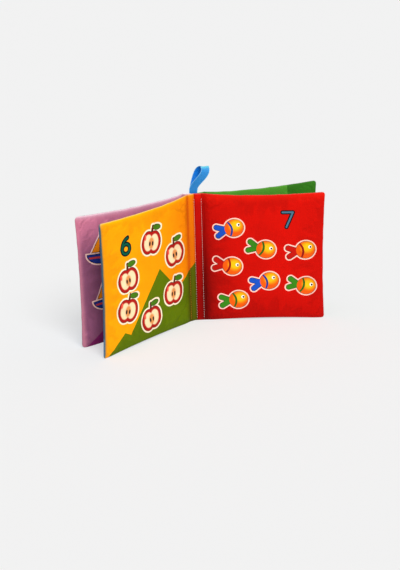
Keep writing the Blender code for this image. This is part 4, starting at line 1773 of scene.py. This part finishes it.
def page_material(page):
    """The printed cloth of one page, on the page's own UV map in millimetres."""
    material = bpy.data.materials.get(page + " printed cloth")
    if material is not None:
        return material
    material, s, shader = new_material(page + " printed cloth")
    place = s.scaled(s.cloth_place(), frame_height() / MM)
    ground = tuple(getattr(settings().colour, page))
    printed = s.group(print_group(page), {"Ground": ground, "Place": place})["Colour"]
    feeds = {"Colour": printed, "Bare cloth": BARE_CLOTH, "Place": place, "Yarn": YARN}
    feeds["Seam distance"] = s.attribute("seam_distance")
    weave = s.group(weave_group(), feeds)
    # Painted light and shade by the relief: lighter on the cloth's ridges, darker in its hollows
    lit = s.ramp(s.attribute("relief"), -0.35, 0.35, 0.93, 1.06)
    fold_shade_tint = WARM_FOLD_SHADE if page in WARM_PAGES else PLAIN_FOLD_SHADE
    # Painted shade in the folds beside the channel and the fold seams
    deeper = s.mix(s.attribute("fold"), (1.0, 1.0, 1.0), fold_shade_tint)
    colour = s.vector("MULTIPLY", s.toned(weave["Colour"], lit), deeper)
    # Painted shade along a rolled fore seam
    colour = s.mix(s.attribute("seam_shade"), colour, SEAM_SHADE_OLIVE)
    # Painted highlight along the head: the colour made paler by a gamma
    feeds = {"Color": colour, "Gamma": HEAD_HIGHLIGHT_GAMMAS.get(page, PLAIN_HEAD_HIGHLIGHT_GAMMA)}
    paler = s.node("Gamma", feeds).outputs[0]
    set_shader(s, shader, Base_Color=s.mix(s.attribute("head_light"), colour, paler))
    crumple = s.group(crumple_group(), {"Place": place})["Height"]
    broad = s.bump(crumple, 0.5, 0.9 * MM)
    set_shader(s, shader, Normal=s.bump(weave["Height"], 0.35, 0.06 * MM, Normal=broad))
    set_shader(s, shader, Roughness=s.ramp(weave["Height"], 0.3, 1.0, 0.74, 0.64))
    set_shader(s, shader, Specular_IOR_Level=0.07, Sheen_Weight=0.01, Sheen_Roughness=0.4)
    return material


def thread_material(thread):
    """Twisted polyester thread of one of the thread colours: slanting plies along each stitch."""
    name = "twisted " + thread.replace("_", " ")
    material = bpy.data.materials.get(name)
    if material is not None:
        return material
    material, s, shader = new_material(name)
    x, y, z = s.parts(s.solid_place())
    slant = s.calc("MULTIPLY_ADD", x, 0.8, s.calc("MULTIPLY_ADD", y, 0.8, z))
    plies = s.calc("SINE", s.calc("MULTIPLY", slant, 2 * math.pi / PLY_PITCH))
    colour = tuple(getattr(settings().colour, thread))
    # Painted shade in the grooves between the plies
    set_shader(s, shader, Base_Color=s.toned(colour, s.ramp(plies, -1.0, 1.0, 0.82, 1.0)))
    set_shader(s, shader, Normal=s.bump(plies, 0.5, 0.05 * MM))
    set_shader(s, shader, Roughness=0.6, Specular_IOR_Level=0.3, Sheen_Weight=0.05, Sheen_Roughness=0.3)
    return material


def ribbon_material():
    """Ribbed ribbon with a soft sheen: ribs across it, a woven selvedge, slow changes of tone, painted shade
    in the ribs' grooves, on its inner face and at its foot, and a painted highlight at the top where it bends
    over.
    """
    foot_shade_blue, inside_shade_blue = srgb(24, 100, 176), srgb(0, 122, 220)
    top_highlight_cyan, edge_blue = srgb(120, 232, 246), srgb(150, 216, 252)
    material, s, shader = new_material("ribbed ribbon")
    uv = s.cloth_place()
    across, along = s.parts(uv)[:2]
    pitch = settings().ribbon.rib_pitch / MM
    ribs = s.calc("COSINE", s.calc("MULTIPLY", along, 2 * math.pi / pitch))
    yarn = s.calc("SINE", s.calc("MULTIPLY", across, 2 * math.pi / RIBBON_YARN))
    cloudy = s.noise(uv, 0.5, 3.0)
    # The ribs are painted darker in their grooves as painted shade, and the tone also wanders slowly
    tone = s.calc("ADD", s.ramp(ribs, -1.0, 1.0, 0.84, 1.04), s.ramp(cloudy, 0.3, 0.7, -0.05, 0.05))
    inside, top, edge, low = (s.attribute(name) for name in ("inside", "top", "edge", "low"))
    # Painted shade at the foot and on the inner face, then a painted highlight at the top where the ribbon
    # bends over, then the pale edge
    colour = s.mix(s.calc("MULTIPLY", low, 0.35), tuple(settings().colour.ribbon), foot_shade_blue)
    colour = s.mix(s.calc("MULTIPLY", inside, 0.95), colour, inside_shade_blue)
    outside = s.calc("SUBTRACT", 1.0, s.calc("MULTIPLY", inside, 0.75))
    top_highlight_share = s.calc("MULTIPLY", s.calc("MULTIPLY", top, outside), 0.8)
    colour = s.mix(top_highlight_share, colour, top_highlight_cyan)
    colour = s.mix(s.calc("MULTIPLY", edge, 0.85), colour, edge_blue)
    set_shader(s, shader, Base_Color=s.toned(colour, tone))
    height = s.calc("MULTIPLY_ADD", yarn, 0.3, ribs)
    set_shader(s, shader, Normal=s.bump(height, 0.5, 0.06 * MM))
    set_shader(s, shader, Roughness=s.ramp(ribs, -1.0, 1.0, 0.55, 0.4))
    set_shader(s, shader, Specular_IOR_Level=0.18, Sheen_Weight=0.03, Sheen_Roughness=0.3)
    return material


def wadding_material():
    """Soft matted fibres."""
    material, s, shader = new_material("wadding fibres")
    place = s.solid_place()
    fibres = s.noise(place, 900.0, 4.0, 1.5)
    clumps = s.noise(place, 120.0, 2.0)
    tone = s.calc("ADD", s.ramp(fibres, 0.3, 0.7, 0.9, 1.0), s.ramp(clumps, 0.3, 0.7, -0.06, 0.0))
    set_shader(s, shader, Base_Color=s.toned(tuple(settings().colour.wadding), tone))
    set_shader(s, shader, Normal=s.bump(fibres, 0.8, 0.4 * MM))
    set_shader(s, shader, Roughness=0.95, Sheen_Weight=0.4)
    return material


def film_material():
    """Thin glossy film, creased into flat facets."""
    material, s, shader = new_material("crinkle film sheet")
    feeds = {"Vector": s.solid_place(), "Scale": 90.0}
    facets = s.node("TexVoronoi", feeds, feature="F1").outputs["Distance"]
    tone = s.ramp(facets, 0.0, 0.8, 1.0, 0.86)
    set_shader(s, shader, Base_Color=s.toned(tuple(settings().colour.film), tone))
    set_shader(s, shader, Normal=s.bump(facets, 0.7, 0.5 * MM))
    set_shader(s, shader, Roughness=s.ramp(facets, 0.0, 0.8, 0.18, 0.34))
    set_shader(s, shader, Specular_IOR_Level=0.6)
    return material


def dress_node(name, material):
    """Give a node of the frame a finished material in place of its plain one."""
    mesh = frame["nodes"][name].data
    if mesh.materials:
        mesh.materials[0] = material
    else:
        mesh.materials.append(material)


class CLOTHBOOK_OT_fillings(bpy.types.Operator):
    """Finish the wadding, the crinkle film and the hidden spine seam"""

    bl_idname = "clothbook.fillings"
    bl_label = "Fillings"

    def execute(self, context):
        wadding, film = wadding_material(), film_material()
        for _, _, filling, _ in LEAVES.values():
            dress_node(filling + "_wadding", wadding)
            dress_node(filling + "_crinkle_film", film)
        dress_node("spine_seam_thread", thread_material("thread"))
        return {"FINISHED"}


# The stage

# How far the floor lies under the book's feet, its thickness, and the lines across it
FLOOR_DROP, FLOOR_THICKNESS = 0.05 * MM, 10 * MM
FLOOR_LINES = 5


def seen_share(s):
    """1 for what the camera, gloss and clear things see, and 0 for what lights the book."""
    path = s.node("LightPath").outputs
    seen = s.calc("MAXIMUM", path["Is Camera Ray"], path["Is Glossy Ray"])
    return s.calc("MAXIMUM", seen, path["Is Transmission Ray"])


def floor_material():
    """Matt pale paper with the faintest grain; part of it is seen at the backdrop's own even tone."""
    material, s, shader = new_material("pale paper")
    stage, paper = settings().stage, tuple(settings().colour.floor)
    tone = s.ramp(s.noise(s.solid_place(), 400.0, 2.0), 0.3, 0.7, 0.995, 1.0)
    set_shader(s, shader, Base_Color=s.toned(paper, tone))
    set_shader(s, shader, Roughness=0.9, Specular_IOR_Level=0.0)
    even = s.node("Emission", {"Color": paper, "Strength": stage.backdrop})
    share = s.calc("MULTIPLY", seen_share(s), stage.floor_evenness)
    mixed = s.node("MixShader", {0: share, 1: shader.outputs[0], 2: even.outputs[0]})
    s.feed(material.node_tree.nodes["Material Output"].inputs["Surface"], mixed.outputs[0])
    return material


def light_world():
    """An even sky, which the camera, gloss and clear things see as the pale backdrop."""
    stage = settings().stage
    world = bpy.data.worlds.new("studio")
    bpy.context.scene.world = world
    world.use_nodes = True
    s = Shading(world.node_tree)
    backdrop = world.node_tree.nodes["Background"]
    s.feed(backdrop.inputs["Color"], tuple(settings().colour.floor))
    s.feed(backdrop.inputs["Strength"], s.ramp(seen_share(s), 0.0, 1.0, stage.sky, stage.backdrop))


def stand(name, data, right, up, back, position):
    """A camera or a lamp at a position, with its own three directions in the world."""
    thing = bpy.data.objects.new(name, data)
    bpy.context.scene.collection.objects.link(thing)
    matrix = np.eye(4)
    matrix[:3] = np.stack((right, up, back, position), axis=-1)
    thing.matrix_world = Matrix(matrix.tolist())
    return thing


def place_camera():
    """The camera looks down by its pitch at the aim, from its distance, and leans by its roll."""
    stage = settings().stage
    ahead = np.array((0, math.cos(stage.pitch), -math.sin(stage.pitch)))
    right, up = np.array((1.0, 0, 0)), np.array((0, math.sin(stage.pitch), math.cos(stage.pitch)))
    leaning_right = math.cos(stage.roll) * right + math.sin(stage.roll) * up
    leaning_up = -math.sin(stage.roll) * right + math.cos(stage.roll) * up
    position = np.array(stage.aim) - stage.distance * ahead
    data = bpy.data.cameras.new("camera")
    data.sensor_fit = "VERTICAL"
    data.lens = stage.focal_pixels / stage.image_height * data.sensor_height
    bpy.context.scene.camera = stand("camera", data, leaning_right, leaning_up, -ahead, position)


def place_sun():
    """One large soft lamp in front of the book, above it and to the right."""
    stage = settings().stage
    data = bpy.data.lights.new("large lamp", "SUN")
    data.energy = stage.sun
    data.angle = stage.sun_spread
    back = np.array(stage.sun_from)
    back /= np.linalg.norm(back)
    right = np.cross((0, 0, 1.0), back)
    right /= np.linalg.norm(right)
    stand("large lamp", data, right, np.cross(back, right), back, 2 * back)


class CLOTHBOOK_OT_stage(bpy.types.Operator):
    """Lay the floor and set the light and the camera"""

    bl_idname = "clothbook.stage"
    bl_label = "Stage"

    def execute(self, context):
        half = settings().stage.floor_size
        lines = np.linspace(-half, half, FLOOR_LINES)
        x, y = np.meshgrid(lines, lines, indexing="ij")
        top, under = (
            np.stack((x, y, np.full_like(x, level)), axis=-1)
            for level in (-FLOOR_DROP, -FLOOR_DROP - FLOOR_THICKNESS)
        )
        floor = closed_pair("floor", top, under, np.stack((x, y), axis=-1), floor_material())
        floor.data.shade_flat()
        light_world()
        place_sun()
        place_camera()
        context.scene.view_settings.view_transform = "Standard"
        return {"FINISHED"}


class CLOTHBOOK_PT_sidebar(bpy.types.Panel):
    """The book's pieces, in the order in which they are sewn, and their sizes"""

    bl_idname = "CLOTHBOOK_PT_sidebar"
    bl_label = "Cloth Book"
    bl_space_type = "VIEW_3D"
    bl_region_type = "UI"
    bl_category = "Cloth Book"

    def draw(self, context):
        for operator in OPERATORS:
            self.layout.operator(operator.bl_idname)
        for group_name in ("page", "gutter", "stitch", "ribbon", "colour", "stage"):
            group = getattr(context.scene.cloth_book, group_name)
            box = self.layout.box()
            box.label(text=group_name.capitalize())
            for name in group.__annotations__:
                box.prop(group, name)


OPERATORS = (
    CLOTHBOOK_OT_stage,
    CLOTHBOOK_OT_fillings,
    CLOTHBOOK_OT_page_cloths,
    CLOTHBOOK_OT_gutters,
    CLOTHBOOK_OT_stitches,
    CLOTHBOOK_OT_ribbon_loop,
)

GROUPS = (
    PageSettings,
    GutterSettings,
    StitchSettings,
    RibbonSettings,
    ColourSettings,
    StageSettings,
    BookSettings,
)


def register():
    """Register every class and give the scene its settings."""
    for cls in GROUPS + OPERATORS + (CLOTHBOOK_PT_sidebar,):
        bpy.utils.register_class(cls)
    bpy.types.Scene.cloth_book = bpy.props.PointerProperty(type=BookSettings)


def unregister():
    """Take the settings and the classes away again."""
    del bpy.types.Scene.cloth_book
    for cls in reversed(GROUPS + OPERATORS + (CLOTHBOOK_PT_sidebar,)):
        bpy.utils.unregister_class(cls)


def main():
    register()
    for operator in OPERATORS:
        category, name = operator.bl_idname.split(".")
        getattr(getattr(bpy.ops, category), name)()


if __name__ == "__main__":
    main()
